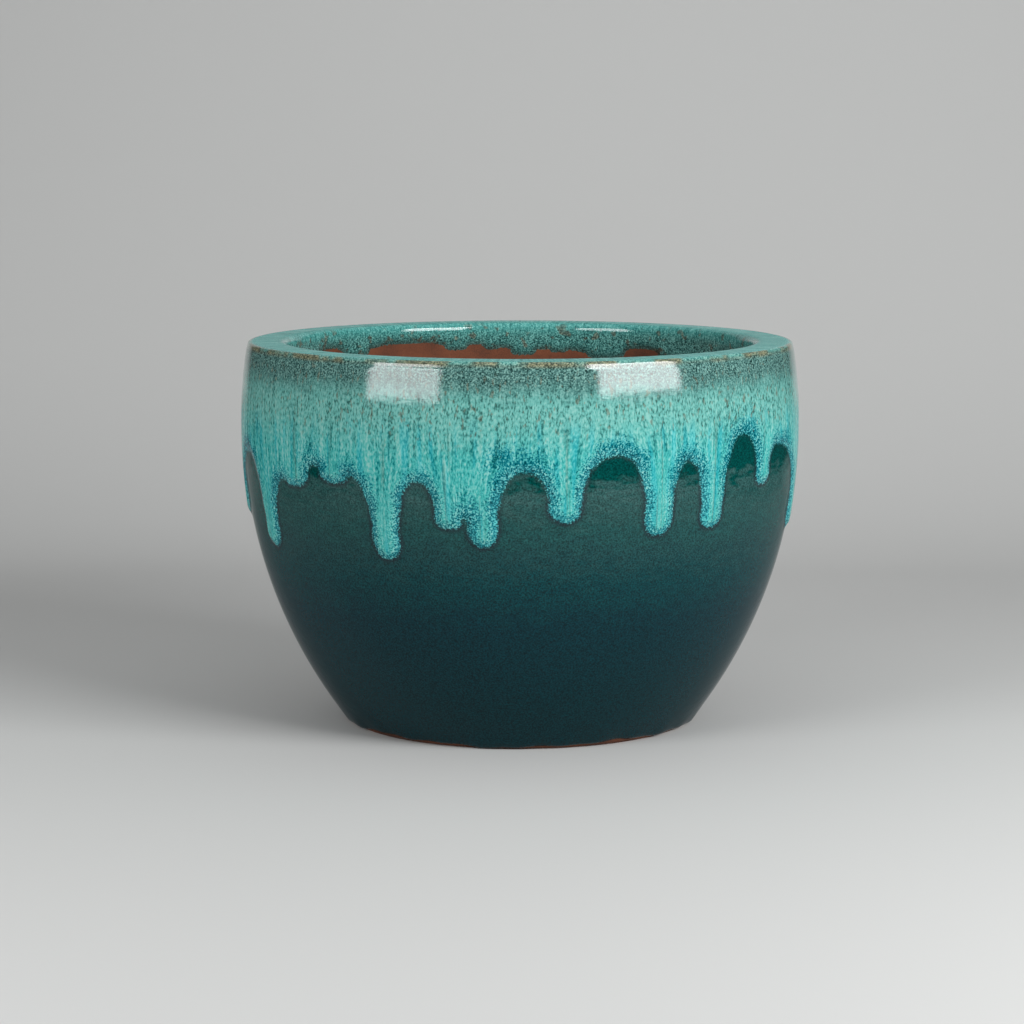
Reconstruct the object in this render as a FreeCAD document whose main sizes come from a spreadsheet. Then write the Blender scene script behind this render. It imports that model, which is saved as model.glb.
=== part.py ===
import FreeCAD, Part
import math
import os

import Sketcher
from BOPTools import SplitAPI

# Glazed ceramic planter: a thrown clay pot, a dark coat of glaze on its wall, a second coat that was
# poured over the rim and ran down in the kiln, and a rubber plug in the drain hole.
# Millimetres, +Z up, origin on the floor under the middle of the foot. The front faces -Y.

SIZES = {
    # Clay pot
    "pot_height": 203.2,
    "belly_radius": 148.2,
    "belly_height": 160.0,
    "foot_radius": 93.0,
    "foot_width": 17.0,
    "foot_recess": 4.0,
    "foot_edge": 1.2,
    "wall": 13.0,
    "floor_thick": 14.0,
    "cove_radius": 22.0,
    "rim_flat": 9.4,
    "lip_depth": 24.0,
    "lip_taper": 16.0,
    "rim_outer_round": 2.6,
    "rim_inner_round": 6.0,
    "drain_radius": 11.0,
    # Dark coat of glaze on the outside
    "dark_coat": 0.8,
    "bare_foot": 2.0,
    # Poured coat of glaze over the rim, with its runs
    "run_coat": 1.0,
    "run_swell": 1.2,
    "run_drop": 60.0,
    "run_edge": 1.2,
    "lip_bare": 4.0,
    "cut_overrun": 1.5,
    # Rubber drain plug
    "plug_head_overlap": 6.0,
    "plug_head_thick": 5.0,
    "plug_head_round": 2.0,
    "plug_gap": 0.3,
    "plug_taper": 1.2,
    "plug_stop_short": 2.0,
    "plug_nose_round": 2.0,
}

# The wall is one arc, level with the belly at its widest and passing through the edge of the foot
WALL_ARC = (
    "((sizes.belly_radius - sizes.foot_radius)^2 + sizes.belly_height^2)"
    " / (2 * (sizes.belly_radius - sizes.foot_radius))"
)
WALL_CENTRE = f"sizes.belly_radius - {WALL_ARC}"
COATS = "(sizes.dark_coat + sizes.run_coat)"
FLOOR_TOP = "(sizes.foot_recess + sizes.floor_thick)"
LIP_LOW = "sizes.pot_height - sizes.lip_depth + sizes.lip_bare"

# Each run of the poured coat on the outside, in order round the pot: degrees from the front towards +X,
# then its tip as a share of run_drop below the belly, its width as a share of the usual width, and the
# place of the arch between it and the next run: degrees, and its top as a share of run_drop
RUN_SHARES = [
    (-62.5, 0.950, 1.00, -54.8, 0.33),
    (-50.0, 0.370, 1.10, -45.2, 0.17),
    (-39.5, 0.300, 1.10, -35.0, 0.24),
    (-27.5, 0.915, 0.90, -20.5, 0.24),
    (-14.2, 0.635, 0.80, -10.9, 0.53),
    (-7.4, 0.780, 0.88, 0.6, 0.15),
    (8.6, 0.575, 1.00, 19.0, 0.02),
    (28.0, 0.715, 0.92, 34.2, 0.10),
    (41.0, 0.690, 0.90, 49.2, -0.08),
    (57.0, 0.385, 0.85, 62.8, 0.06),
    (80.0, 0.880, 1.25, 91.0, 0.10),
    (99.0, 0.520, 0.90, 106.5, 0.20),
    (115.0, 0.830, 0.95, 122.5, 0.05),
    (130.5, 0.460, 1.00, 137.0, 0.25),
    (143.5, 0.680, 0.80, 149.5, 0.34),
    (155.5, 0.930, 0.95, 164.5, 0.00),
    (174.0, 0.600, 1.05, 182.0, 0.16),
    (189.5, 0.400, 0.95, 195.5, 0.22),
    (203.0, 0.860, 0.90, 212.0, 0.08),
    (220.0, 0.560, 0.85, 226.5, 0.30),
    (233.0, 0.740, 0.95, 241.5, 0.04),
    (250.0, 0.350, 1.00, 257.0, 0.18),
    (274.0, 0.800, 1.60, 287.5, 0.17),
]

# The short runs inside the lip, in the same form: shares of the glazed depth below the rim and of their
# usual width
LIP_RUN_SHARES = [
    (-172.5, 0.675, 0.36, -168.1, 0.52),
    (-163.1, 0.690, 0.64, -150.1, 0.44),
    (-133.0, 0.785, 0.91, -123.4, 0.45),
    (-112.0, 0.910, 1.00, -99.0, 0.58),
    (-88.0, 0.810, 1.00, -76.0, 0.56),
    (-64.0, 0.900, 1.14, -52.0, 0.64),
    (-40.0, 0.770, 0.95, -29.0, 0.58),
    (-17.0, 0.930, 1.09, -5.0, 0.66),
    (8.0, 0.820, 1.00, 19.0, 0.55),
    (31.0, 0.900, 1.05, 43.0, 0.62),
    (56.0, 0.780, 0.95, 66.0, 0.57),
    (78.0, 0.930, 1.18, 91.0, 0.66),
    (103.0, 0.820, 1.00, 114.0, 0.58),
    (127.0, 0.920, 1.09, 146.8, 0.57),
    (157.0, 0.920, 1.09, 167.3, 0.70),
    (170.0, 0.760, 0.41, 173.5, 0.67),
    (179.1, 0.855, 0.64, 184.9, 0.62),
]

RUN_WIDTH_SHARE = 0.108  # usual width of a run outside, as a share of the belly's radius
LIP_RUN_WIDTH_SHARE = 0.173  # usual width of a run inside, as a share of the mouth's radius
TIP_DEPTH_SHARE = 1.0  # depth of a run's round tip, as a share of half its width
TIP_RISE_SHARE = 0.5  # most of the way up to an arch that a round tip may take
FLARE_SHARE = 0.85  # how much of a run's side belongs to the arch beside it
ARC_POINTS = 6  # points that carry one quarter arc of the outline round the pot


def vector(x, y, z=0.0):
    """A point or direction."""
    return FreeCAD.Vector(x, y, z)


class Pot:
    """The document, its sheet of sizes, and the lengths that follow from them."""

    def __init__(self):
        self.doc = FreeCAD.newDocument("planter")
        self.sheet = self.doc.addObject("Spreadsheet::Sheet", "sizes")
        for row, (alias, length) in enumerate(SIZES.items(), start=1):
            self.sheet.set(f"A{row}", alias)
            self.sheet.set(f"B{row}", str(length))
            self.sheet.setAlias(f"B{row}", alias)
        self.doc.recompute()
        self.wall_arc = self.value(WALL_ARC)
        self.wall_centre = self.value(WALL_CENTRE)
        self.coats = self.value(COATS)
        self.floor_top = self.value(FLOOR_TOP)
        self.rim_centre, self.rim_angle = self.rim_rounding()
        self.mouth = self.rim_centre[0] - self.size("rim_flat") - self.size("rim_inner_round")
        self.lip_low = self.value(LIP_LOW)

    def size(self, alias):
        """One driving dimension."""
        return self.sheet.get(alias)

    def value(self, expression):
        """The number that an expression in the sheet's sizes comes to."""
        return float(self.sheet.evalExpression(expression.replace("sizes.", "")))

    def rim_rounding(self):
        """Centre of the rim's outer rounding and the angle at which it meets the wall's arc."""
        height = self.size("pot_height") - self.size("rim_outer_round")
        rise = height - self.size("belly_height")
        reach = self.wall_arc - self.size("rim_outer_round")
        out = math.sqrt(reach**2 - rise**2)
        return (self.wall_centre + out, height), math.atan2(rise, out)

    def wall_radius(self, height, offset=0.0):
        """Radius of the outer wall at a height, or of a surface that lies outside it by an offset."""
        rise = height - self.size("belly_height")
        return self.wall_centre + math.sqrt((self.wall_arc + offset) ** 2 - rise**2)

    def wall_angle(self, height, offset=0.0):
        """Angle about the wall's centre at which that surface reaches a height."""
        return math.asin((height - self.size("belly_height")) / (self.wall_arc + offset))

    def on_wall(self, angle, offset=0.0):
        """Point of that surface's outline at an angle about the wall's centre."""
        reach = self.wall_arc + offset
        return (
            self.wall_centre + reach * math.cos(angle),
            self.size("belly_height") + reach * math.sin(angle),
        )


class Outline:
    """A closed sketch in a body's XZ plane, drawn edge by edge, that is then turned round Z."""

    START, END, CENTRE = 1, 2, 3
    ORIGIN, X_AXIS, Z_AXIS = (-1, 1), -1, -2

    def __init__(self, body, name):
        self.body = body
        self.sketch = body.newObject("Sketcher::SketchObject", name)
        plane = next(o for o in body.Origin.OriginFeatures if o.Role == "XZ_Plane")
        self.sketch.AttachmentSupport = [(plane, "")]
        self.sketch.MapMode = "FlatFace"
        self.edges = []

    def line(self, start, end):
        """A straight edge. Returns its place in the outline."""
        geometry = Part.LineSegment(vector(*start), vector(*end))
        index = self.sketch.addGeometry(geometry, False)
        self.edges.append((index, self.START, self.END))
        return index

    def arc(self, centre, radius, turn_from, turn_to):
        """A round edge from one angle to another, either way round. Returns its place in the outline."""
        circle = Part.Circle(vector(*centre), vector(0, 0, 1), radius)
        geometry = Part.ArcOfCircle(circle, min(turn_from, turn_to), max(turn_from, turn_to))
        index = self.sketch.addGeometry(geometry, False)
        ends = (self.START, self.END) if turn_from < turn_to else (self.END, self.START)
        self.edges.append((index, *ends))
        return index

    def first(self, index):
        """The point where an edge begins, going round the outline."""
        return index, self.edges[index][1]

    def last(self, index):
        """The point where an edge ends."""
        return index, self.edges[index][2]

    def centre(self, index):
        """The centre of a round edge."""
        return index, self.CENTRE

    def add(self, kind, *references):
        """One constraint."""
        return self.sketch.addConstraint(Sketcher.Constraint(kind, *references))

    def close(self, smooth=(), square=()):
        """Joins each edge to the next: tangent after the smooth ones, at a right angle after the square."""
        for index in range(len(self.edges)):
            following = (index + 1) % len(self.edges)
            kind = "Tangent" if index in smooth else "Perpendicular" if index in square else "Coincident"
            self.add(kind, *self.last(index), *self.first(following))

    def level(self, *indices):
        """Keeps straight edges horizontal."""
        for index in indices:
            self.add("Horizontal", index)

    def upright(self, *indices):
        """Keeps straight edges vertical."""
        for index in indices:
            self.add("Vertical", index)

    def bind(self, kind, expression, *references):
        """A dimension that follows an expression in the sheet's sizes."""
        number = self.sketch.evalExpression(expression)
        index = self.add(kind, *references, float(number))
        self.sketch.setExpression(f"Constraints[{index}]", expression)

    def radius(self, index, expression):
        """Binds the radius of a round edge."""
        self.bind("Radius", expression, index)

    def across(self, point, expression):
        """Binds a point's distance from the axis."""
        self.bind("DistanceX", expression, *self.ORIGIN, *point)

    def up(self, point, expression):
        """Binds a point's height."""
        self.bind("DistanceY", expression, *self.ORIGIN, *point)

    def turn(self, name):
        """Turns the outline round Z into a solid and returns that feature."""
        feature = self.body.newObject("PartDesign::Revolution", name)
        feature.Profile = self.sketch
        feature.ReferenceAxis = (self.sketch, ["V_Axis"])
        feature.Angle = 360.0
        self.sketch.Visibility = False
        self.body.Document.recompute()
        return feature


def round_edges(body, name, base, expression, wanted):
    """Rounds each edge of a feature that the test picks out, with a radius bound to the sheet."""
    edges = [f"Edge{n}" for n, edge in enumerate(base.Shape.Edges, start=1) if wanted(edge)]
    feature = body.newObject("PartDesign::Fillet", name)
    feature.Base = (base, edges)
    feature.Radius = float(body.evalExpression(expression))
    feature.setExpression("Radius", expression)
    body.Document.recompute()
    return feature


def is_ring(edge, radius, height):
    """Whether an edge is the circle of that radius round Z at that height."""
    curve = edge.Curve
    if not isinstance(curve, Part.Circle):
        return False
    near = 1e-4 * radius
    return abs(curve.Radius - radius) < near and abs(curve.Center.z - height) < near


def make_clay_pot(pot):
    """The thrown pot: foot ring, round wall of one thickness, thick rim with a lip, drain hole."""
    body = pot.doc.addObject("PartDesign::Body", "clay_pot")
    outline = Outline(body, "clay_outline")
    size = pot.size
    top = size("pot_height")
    foot_inside = size("foot_radius") - size("foot_width")
    lip_end = top - size("lip_depth")
    taper_end = lip_end - size("lip_taper")
    inner_round = size("rim_inner_round")
    # The cove at the foot of the inner wall touches both that wall and the floor
    cove_height = pot.floor_top + size("cove_radius")
    cove_rise = cove_height - size("belly_height")
    cove_reach = pot.wall_arc - size("wall") - size("cove_radius")
    cove_out = math.sqrt(cove_reach**2 - cove_rise**2)
    cove_angle = math.atan2(cove_rise, cove_out)
    cove_centre = (pot.wall_centre + cove_out, cove_height)
    wall_centre = (pot.wall_centre, size("belly_height"))

    underside = outline.line((0, size("foot_recess")), (foot_inside, size("foot_recess")))
    foot_step = outline.line((foot_inside, size("foot_recess")), (foot_inside, 0))
    foot = outline.line((foot_inside, 0), (size("foot_radius"), 0))
    outside = outline.arc(wall_centre, pot.wall_arc, pot.wall_angle(0), pot.rim_angle)
    rim_outer = outline.arc(pot.rim_centre, size("rim_outer_round"), pot.rim_angle, math.pi / 2)
    inner_centre = (pot.mouth + inner_round, top - inner_round)
    rim_top = outline.line((pot.rim_centre[0], top), (inner_centre[0], top))
    rim_inner = outline.arc(inner_centre, inner_round, math.pi / 2, math.pi)
    lip = outline.line((pot.mouth, top - inner_round), (pot.mouth, lip_end))
    taper_point = pot.on_wall(pot.wall_angle(taper_end, -size("wall")), -size("wall"))
    taper = outline.line((pot.mouth, lip_end), taper_point)
    inside = outline.arc(
        wall_centre, pot.wall_arc - size("wall"), pot.wall_angle(taper_end, -size("wall")), cove_angle
    )
    cove = outline.arc(cove_centre, size("cove_radius"), cove_angle, -math.pi / 2)
    floor = outline.line((cove_centre[0], pot.floor_top), (0, pot.floor_top))
    axis = outline.line((0, pot.floor_top), (0, size("foot_recess")))

    outline.close(smooth=(outside, rim_outer, rim_top, rim_inner, inside, cove))
    outline.level(underside, foot, rim_top, floor)
    outline.upright(foot_step, lip, axis)
    outline.add("PointOnObject", *outline.first(axis), outline.Z_AXIS)
    outline.add("PointOnObject", *outline.first(foot), outline.X_AXIS)
    outline.add("Coincident", *outline.centre(inside), *outline.centre(outside))
    outline.up(outline.first(underside), "sizes.foot_recess")
    outline.bind("DistanceX", "sizes.foot_width", *outline.first(foot), *outline.last(foot))
    outline.across(outline.last(foot), "sizes.foot_radius")
    outline.up(outline.centre(outside), "sizes.belly_height")
    outline.radius(outside, WALL_ARC)
    outline.up(outline.first(rim_top), "sizes.pot_height")
    outline.radius(rim_outer, "sizes.rim_outer_round")
    outline.radius(rim_inner, "sizes.rim_inner_round")
    outline.bind("DistanceX", "sizes.rim_flat", *outline.last(rim_top), *outline.first(rim_top))
    outline.up(outline.last(lip), "sizes.pot_height - sizes.lip_depth")
    outline.up(outline.last(taper), "sizes.pot_height - sizes.lip_depth - sizes.lip_taper")
    outline.radius(inside, f"{WALL_ARC} - sizes.wall")
    outline.radius(cove, "sizes.cove_radius")
    outline.up(outline.first(floor), FLOOR_TOP)
    thrown = outline.turn("thrown_clay")

    foot_radii = (foot_inside, size("foot_radius"))
    turned = round_edges(
        body,
        "foot_edges",
        thrown,
        "sizes.foot_edge",
        lambda edge: any(is_ring(edge, radius, 0.0) for radius in foot_radii),
    )
    make_drain_hole(pot, body, turned)
    return body


def make_drain_hole(pot, body, base):
    """Bores the drain hole through the floor and checks that clay was taken out."""
    plane = next(o for o in body.Origin.OriginFeatures if o.Role == "XY_Plane")
    sketch = body.newObject("Sketcher::SketchObject", "drain_outline")
    sketch.AttachmentSupport = [(plane, "")]
    sketch.MapMode = "FlatFace"
    circle = Part.Circle(vector(0, 0), vector(0, 0, 1), pot.size("drain_radius"))
    sketch.addGeometry(circle, False)
    sketch.addConstraint(Sketcher.Constraint("Coincident", 0, 3, -1, 1))
    index = sketch.addConstraint(Sketcher.Constraint("Radius", 0, pot.size("drain_radius")))
    sketch.setExpression(f"Constraints[{index}]", "sizes.drain_radius")
    whole = base.Shape.Volume
    pocket = body.newObject("PartDesign::Pocket", "drain_hole")
    pocket.Profile = sketch
    pocket.Type = "ThroughAll"
    pocket.Reversed = True
    sketch.Visibility = False
    pot.doc.recompute()
    bored = math.pi * pot.size("drain_radius") ** 2 * pot.size("floor_thick")
    if abs(whole - pocket.Shape.Volume - bored) > 0.01 * bored:
        raise RuntimeError("the drain hole took out the wrong amount of clay")


def make_dark_glaze(pot):
    """The first coat: an even skin on the wall, from just above the foot to the rim's rounding."""
    body = pot.doc.addObject("PartDesign::Body", "dark_glaze")
    outline = Outline(body, "dark_outline")
    coat = pot.size("dark_coat")
    low = pot.size("bare_foot")
    centre = (pot.wall_centre, pot.size("belly_height"))
    seat_low, skin_low = pot.wall_angle(low), pot.wall_angle(low, coat)

    seat = outline.arc(centre, pot.wall_arc, pot.rim_angle, seat_low)
    hem = outline.line(pot.on_wall(seat_low), pot.on_wall(skin_low, coat))
    skin = outline.arc(centre, pot.wall_arc + coat, skin_low, pot.rim_angle)
    head = outline.line(pot.on_wall(pot.rim_angle, coat), pot.on_wall(pot.rim_angle))

    outline.close(square=(skin, head))
    outline.level(hem)
    outline.across(outline.centre(seat), WALL_CENTRE)
    outline.up(outline.centre(seat), "sizes.belly_height")
    outline.radius(seat, WALL_ARC)
    outline.radius(skin, f"{WALL_ARC} + sizes.dark_coat")
    outline.up(outline.first(hem), "sizes.bare_foot")
    # The coat's head lies where the rim's outer rounding begins
    outline.up(
        outline.first(seat),
        f"sizes.belly_height + ({WALL_ARC}) * (sizes.pot_height - sizes.rim_outer_round"
        f" - sizes.belly_height) / ({WALL_ARC} - sizes.rim_outer_round)",
    )
    outline.turn("dark_skin")
    return body


def make_poured_band(pot):
    """The second coat before its edges are cut: over the rim, and down both sides past the last run."""
    body = pot.doc.addObject("PartDesign::Body", "poured_band")
    outline = Outline(body, "poured_outline")
    size = pot.size
    coats, dark = pot.coats, size("dark_coat")
    top, mouth, lip_low = size("pot_height"), pot.mouth, pot.lip_low
    outer_round, inner_round = size("rim_outer_round"), size("rim_inner_round")
    run_low = size("belly_height") - size("run_drop")
    wall_centre = (pot.wall_centre, size("belly_height"))
    inner_centre = (mouth + inner_round, top - inner_round)
    seat_low = pot.wall_angle(run_low, dark)
    # The skin leaves the wall below the belly on a flatter arc, so the runs swell towards their tips
    belly = size("belly_radius") + coats
    fall = belly - pot.wall_radius(run_low, coats) - size("run_swell")
    swell_arc = (fall**2 + size("run_drop") ** 2) / (2 * fall)
    swell_low = -math.asin(size("run_drop") / swell_arc)
    swell_end = (belly - swell_arc + swell_arc * math.cos(swell_low), run_low)

    lip_seat = outline.line((mouth, lip_low), (mouth, top - inner_round))
    inner_seat = outline.arc(inner_centre, inner_round, math.pi, math.pi / 2)
    top_seat = outline.line((inner_centre[0], top), (pot.rim_centre[0], top))
    outer_seat = outline.arc(pot.rim_centre, outer_round, math.pi / 2, pot.rim_angle)
    step = outline.line(pot.on_wall(pot.rim_angle), pot.on_wall(pot.rim_angle, dark))
    wall_seat = outline.arc(wall_centre, pot.wall_arc + dark, pot.rim_angle, seat_low)
    hem = outline.line(pot.on_wall(seat_low, dark), swell_end)
    swell = outline.arc((belly - swell_arc, size("belly_height")), swell_arc, swell_low, 0.0)
    skin = outline.arc(wall_centre, pot.wall_arc + coats, 0.0, pot.rim_angle)
    outer_skin = outline.arc(pot.rim_centre, outer_round + coats, pot.rim_angle, math.pi / 2)
    top_skin = outline.line((pot.rim_centre[0], top + coats), (inner_centre[0], top + coats))
    inner_skin = outline.arc(inner_centre, inner_round + coats, math.pi / 2, math.pi)
    lip_skin = outline.line((mouth - coats, top - inner_round), (mouth - coats, lip_low))
    lip_hem = outline.line((mouth - coats, lip_low), (mouth, lip_low))

    outline.close(
        smooth=(lip_seat, inner_seat, top_seat, swell, skin, outer_skin, top_skin, inner_skin),
        square=(outer_seat, step),
    )
    outline.level(hem, lip_hem, top_seat)
    outline.upright(lip_seat)
    outline.add("Coincident", *outline.centre(skin), *outline.centre(wall_seat))
    outline.add("Coincident", *outline.centre(outer_skin), *outline.centre(outer_seat))
    outline.add("Coincident", *outline.centre(inner_skin), *outline.centre(inner_seat))
    outline.across(outline.centre(wall_seat), WALL_CENTRE)
    outline.up(outline.centre(wall_seat), "sizes.belly_height")
    outline.up(outline.centre(swell), "sizes.belly_height")
    outline.radius(wall_seat, f"{WALL_ARC} + sizes.dark_coat")
    outline.radius(skin, f"{WALL_ARC} + {COATS}")
    outline.radius(outer_seat, "sizes.rim_outer_round")
    outline.radius(outer_skin, f"sizes.rim_outer_round + {COATS}")
    outline.radius(inner_seat, "sizes.rim_inner_round")
    outline.radius(inner_skin, f"sizes.rim_inner_round + {COATS}")
    outline.up(outline.first(top_seat), "sizes.pot_height")
    outline.bind("DistanceX", "sizes.rim_flat", *outline.first(top_seat), *outline.last(top_seat))
    outline.up(outline.first(lip_seat), LIP_LOW)
    outline.up(outline.first(hem), "sizes.belly_height - sizes.run_drop")
    outline.bind(
        "DistanceX",
        f"sqrt(({WALL_ARC} + {COATS})^2 - sizes.run_drop^2)"
        f" - sqrt(({WALL_ARC} + sizes.dark_coat)^2 - sizes.run_drop^2) + sizes.run_swell",
        *outline.first(hem),
        *outline.last(hem),
    )
    outline.turn("poured_skin")
    return body


def run_edge_pieces(runs, level, drop, width, radius, inset):
    """Splits the lower edge of a poured coat into quarter arcs and straight sides.

    Each piece is a function from 0 to 1 that gives the angle round the pot and the height. Tips and
    arches are quarter ellipses that stand upright at the sides and level at their ends. The inset draws
    the whole edge back into the coat."""

    def side(start, end):
        return lambda share: tuple(a + (b - a) * share for a, b in zip(start, end))

    def quarter(upright, level_end):
        """From the point where the arc is upright to the point where it is level."""

        def point(share):
            turn = share * math.pi / 2
            across = upright[0] + (level_end[0] - upright[0]) * (1 - math.cos(turn))
            height = upright[1] + (level_end[1] - upright[1]) * math.sin(turn)
            return across, height

        return point

    def backwards(piece):
        return lambda share: piece(1 - share)

    pieces = []
    for index, (angle, tip_share, width_share, arch_angle, arch_share) in enumerate(runs):
        following = runs[(index + 1) % len(runs)]
        next_angle = following[0] + (360.0 if index == len(runs) - 1 else 0.0)
        half = width * width_share / 2 - inset
        next_half = width * following[2] / 2 - inset
        tip = (math.radians(angle), level - drop * tip_share + inset)
        next_tip = (math.radians(next_angle), level - drop * following[1] + inset)
        arch = (math.radians(arch_angle), level - drop * arch_share + inset)
        right = tip[0] + half / radius
        left = next_tip[0] - next_half / radius
        right_low = tip[1] + min(half * TIP_DEPTH_SHARE, (arch[1] - tip[1]) * TIP_RISE_SHARE)
        left_rise = (arch[1] - next_tip[1]) * TIP_RISE_SHARE
        left_low = next_tip[1] + min(next_half * TIP_DEPTH_SHARE, left_rise)
        right_high = arch[1] - (arch[1] - right_low) * FLARE_SHARE
        left_high = arch[1] - (arch[1] - left_low) * FLARE_SHARE
        pieces += [
            backwards(quarter((right, right_low), tip)),
            side((right, right_low), (right, right_high)),
            quarter((right, right_high), arch),
            backwards(quarter((left, left_high), arch)),
            side((left, left_high), (left, left_low)),
            quarter((left, left_low), next_tip),
        ]
    return pieces


def cutting_ribbon(seat_pieces, seat_radius, skin_pieces, skin_radius):
    """A closed ribbon round the pot, from the edge at the coat's seat to the edge at its skin."""

    def curve(piece, radius_at):
        points = []
        for step in range(ARC_POINTS):
            angle, height = piece(step / (ARC_POINTS - 1))
            radius = radius_at(height)
            points.append(vector(radius * math.sin(angle), -radius * math.cos(angle), height))
        spline = Part.BSplineCurve()
        spline.interpolate(Points=points, Parameters=[float(n) for n in range(ARC_POINTS)])
        return spline.toShape()

    faces = [
        Part.makeRuledSurface(curve(seat, seat_radius), curve(skin, skin_radius))
        for seat, skin in zip(seat_pieces, skin_pieces)
    ]
    ribbon = Part.makeShell(faces)
    ribbon.sewShape()
    return ribbon


def make_run_glaze(pot, band):
    """The second coat, cut to its runs outside and to its short scallops inside the lip."""
    size = pot.size
    over = size("cut_overrun")
    thick = size("run_coat") + size("run_swell")
    # The edge slopes back by run_edge over the coat's full thickness, and as much again past its faces
    seat_inset = -size("run_edge") * over / thick
    skin_inset = size("run_edge") * (1 + over / thick)
    belly, mouth = size("belly_radius"), pot.mouth
    outside = (size("belly_height"), size("run_drop"), belly * RUN_WIDTH_SHARE, belly)
    outer_ribbon = cutting_ribbon(
        run_edge_pieces(RUN_SHARES, *outside, seat_inset),
        lambda height: pot.wall_radius(height, size("dark_coat") - over),
        run_edge_pieces(RUN_SHARES, *outside, skin_inset),
        lambda height: pot.wall_radius(height, size("dark_coat") + thick + over),
    )
    lip_drop = size("pot_height") - pot.lip_low
    inside = (size("pot_height"), lip_drop, mouth * LIP_RUN_WIDTH_SHARE, mouth)
    inner_ribbon = cutting_ribbon(
        run_edge_pieces(LIP_RUN_SHARES, *inside, seat_inset),
        lambda height: mouth + over,
        run_edge_pieces(LIP_RUN_SHARES, *inside, skin_inset),
        lambda height: mouth - thick - over,
    )
    pieces = SplitAPI.slice(band.Shape, [outer_ribbon, inner_ribbon], "Split").Solids
    coat = max(pieces, key=lambda solid: solid.BoundBox.ZMax)
    feature = pot.doc.addObject("Part::Feature", "run_glaze")
    feature.Shape = coat
    return feature


def make_drain_plug(pot):
    """The rubber plug: a domed head that rests on the floor and a tapered shank in the drain hole."""
    body = pot.doc.addObject("PartDesign::Body", "drain_plug")
    outline = Outline(body, "plug_outline")
    size = pot.size
    seat = pot.floor_top
    shank = size("drain_radius") - size("plug_gap")
    nose = shank - size("plug_taper")
    nose_low = size("foot_recess") + size("plug_stop_short")
    head_top = seat + size("plug_head_thick")
    head = size("drain_radius") + size("plug_head_overlap")

    axis = outline.line((0, head_top), (0, nose_low))
    end = outline.line((0, nose_low), (nose, nose_low))
    flank = outline.line((nose, nose_low), (shank, seat))
    rest = outline.line((shank, seat), (head, seat))
    rim = outline.line((head, seat), (head, head_top))
    crown = outline.line((head, head_top), (0, head_top))

    outline.close()
    outline.level(end, rest, crown)
    outline.upright(axis, rim)
    outline.add("PointOnObject", *outline.first(axis), outline.Z_AXIS)
    outline.up(outline.first(rest), FLOOR_TOP)
    outline.up(outline.last(rim), f"{FLOOR_TOP} + sizes.plug_head_thick")
    outline.up(outline.first(end), "sizes.foot_recess + sizes.plug_stop_short")
    outline.across(outline.first(rest), "sizes.drain_radius - sizes.plug_gap")
    outline.across(outline.last(end), "sizes.drain_radius - sizes.plug_gap - sizes.plug_taper")
    outline.across(outline.last(rest), "sizes.drain_radius + sizes.plug_head_overlap")
    moulded = outline.turn("moulded_plug")
    headed = round_edges(
        body,
        "head_edge",
        moulded,
        "sizes.plug_head_round",
        lambda edge: is_ring(edge, head, head_top),
    )
    round_edges(
        body, "nose_edge", headed, "sizes.plug_nose_round", lambda edge: is_ring(edge, nose, nose_low)
    )
    return body


def check(pot, parts):
    """Stops the build if an object failed, or a sub-part has no valid shape."""
    for item in pot.doc.Objects:
        if "Invalid" in item.State or "Error" in item.State:
            raise RuntimeError(f"{item.Name} failed: {item.State}")
    for part in parts:
        if part.Shape.isNull() or not part.Shape.isValid() or not part.Shape.Solids:
            raise RuntimeError(f"{part.Label} has no valid solid")


def main():
    """Builds the planter and writes one file for each of its pieces."""
    pot = Pot()
    clay = make_clay_pot(pot)
    dark = make_dark_glaze(pot)
    band = make_poured_band(pot)
    runs = make_run_glaze(pot, band)
    plug = make_drain_plug(pot)
    parts = [clay, dark, runs, plug]
    pot.doc.recompute()
    check(pot, parts)
    os.makedirs("parts", exist_ok=True)
    for part in parts:
        part.Shape.exportStep(f"parts/{part.Label}.step")
        box = part.Shape.BoundBox
        print(f"{part.Label}: {box.XLength:.1f} x {box.YLength:.1f} x {box.ZLength:.1f} mm,"
              f" {part.Shape.Volume / 1000:.1f} cm3, {len(part.Shape.Faces)} faces")


main()
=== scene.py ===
"""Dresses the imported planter: thrown clay, a dark coat of glaze, a poured coat with runs, a rubber plug.

Metres throughout, in the CAD frame: +Z up, the pot stands on z = 0, its photographed side faces -Y.
"""

import logging
import math
from collections.abc import Callable
from dataclasses import dataclass
from enum import Enum
from functools import partial

import bpy
import numpy as np
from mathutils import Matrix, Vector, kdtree


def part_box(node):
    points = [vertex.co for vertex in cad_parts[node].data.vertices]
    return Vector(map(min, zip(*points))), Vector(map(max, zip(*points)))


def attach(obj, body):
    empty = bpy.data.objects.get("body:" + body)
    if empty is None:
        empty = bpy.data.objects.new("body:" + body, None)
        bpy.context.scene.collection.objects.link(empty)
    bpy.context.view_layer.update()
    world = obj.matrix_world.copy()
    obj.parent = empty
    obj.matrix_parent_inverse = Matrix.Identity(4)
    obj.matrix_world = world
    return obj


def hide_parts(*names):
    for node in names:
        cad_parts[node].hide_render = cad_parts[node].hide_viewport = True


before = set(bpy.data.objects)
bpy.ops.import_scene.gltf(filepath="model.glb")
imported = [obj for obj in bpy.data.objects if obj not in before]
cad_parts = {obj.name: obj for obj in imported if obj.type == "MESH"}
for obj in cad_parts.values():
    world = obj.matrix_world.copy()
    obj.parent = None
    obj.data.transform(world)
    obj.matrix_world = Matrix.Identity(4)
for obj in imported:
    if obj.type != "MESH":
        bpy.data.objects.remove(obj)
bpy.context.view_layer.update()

LOG = logging.getLogger("planter")
MM = 0.001
NEAR = 1e-6  # places closer than this are one

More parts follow.
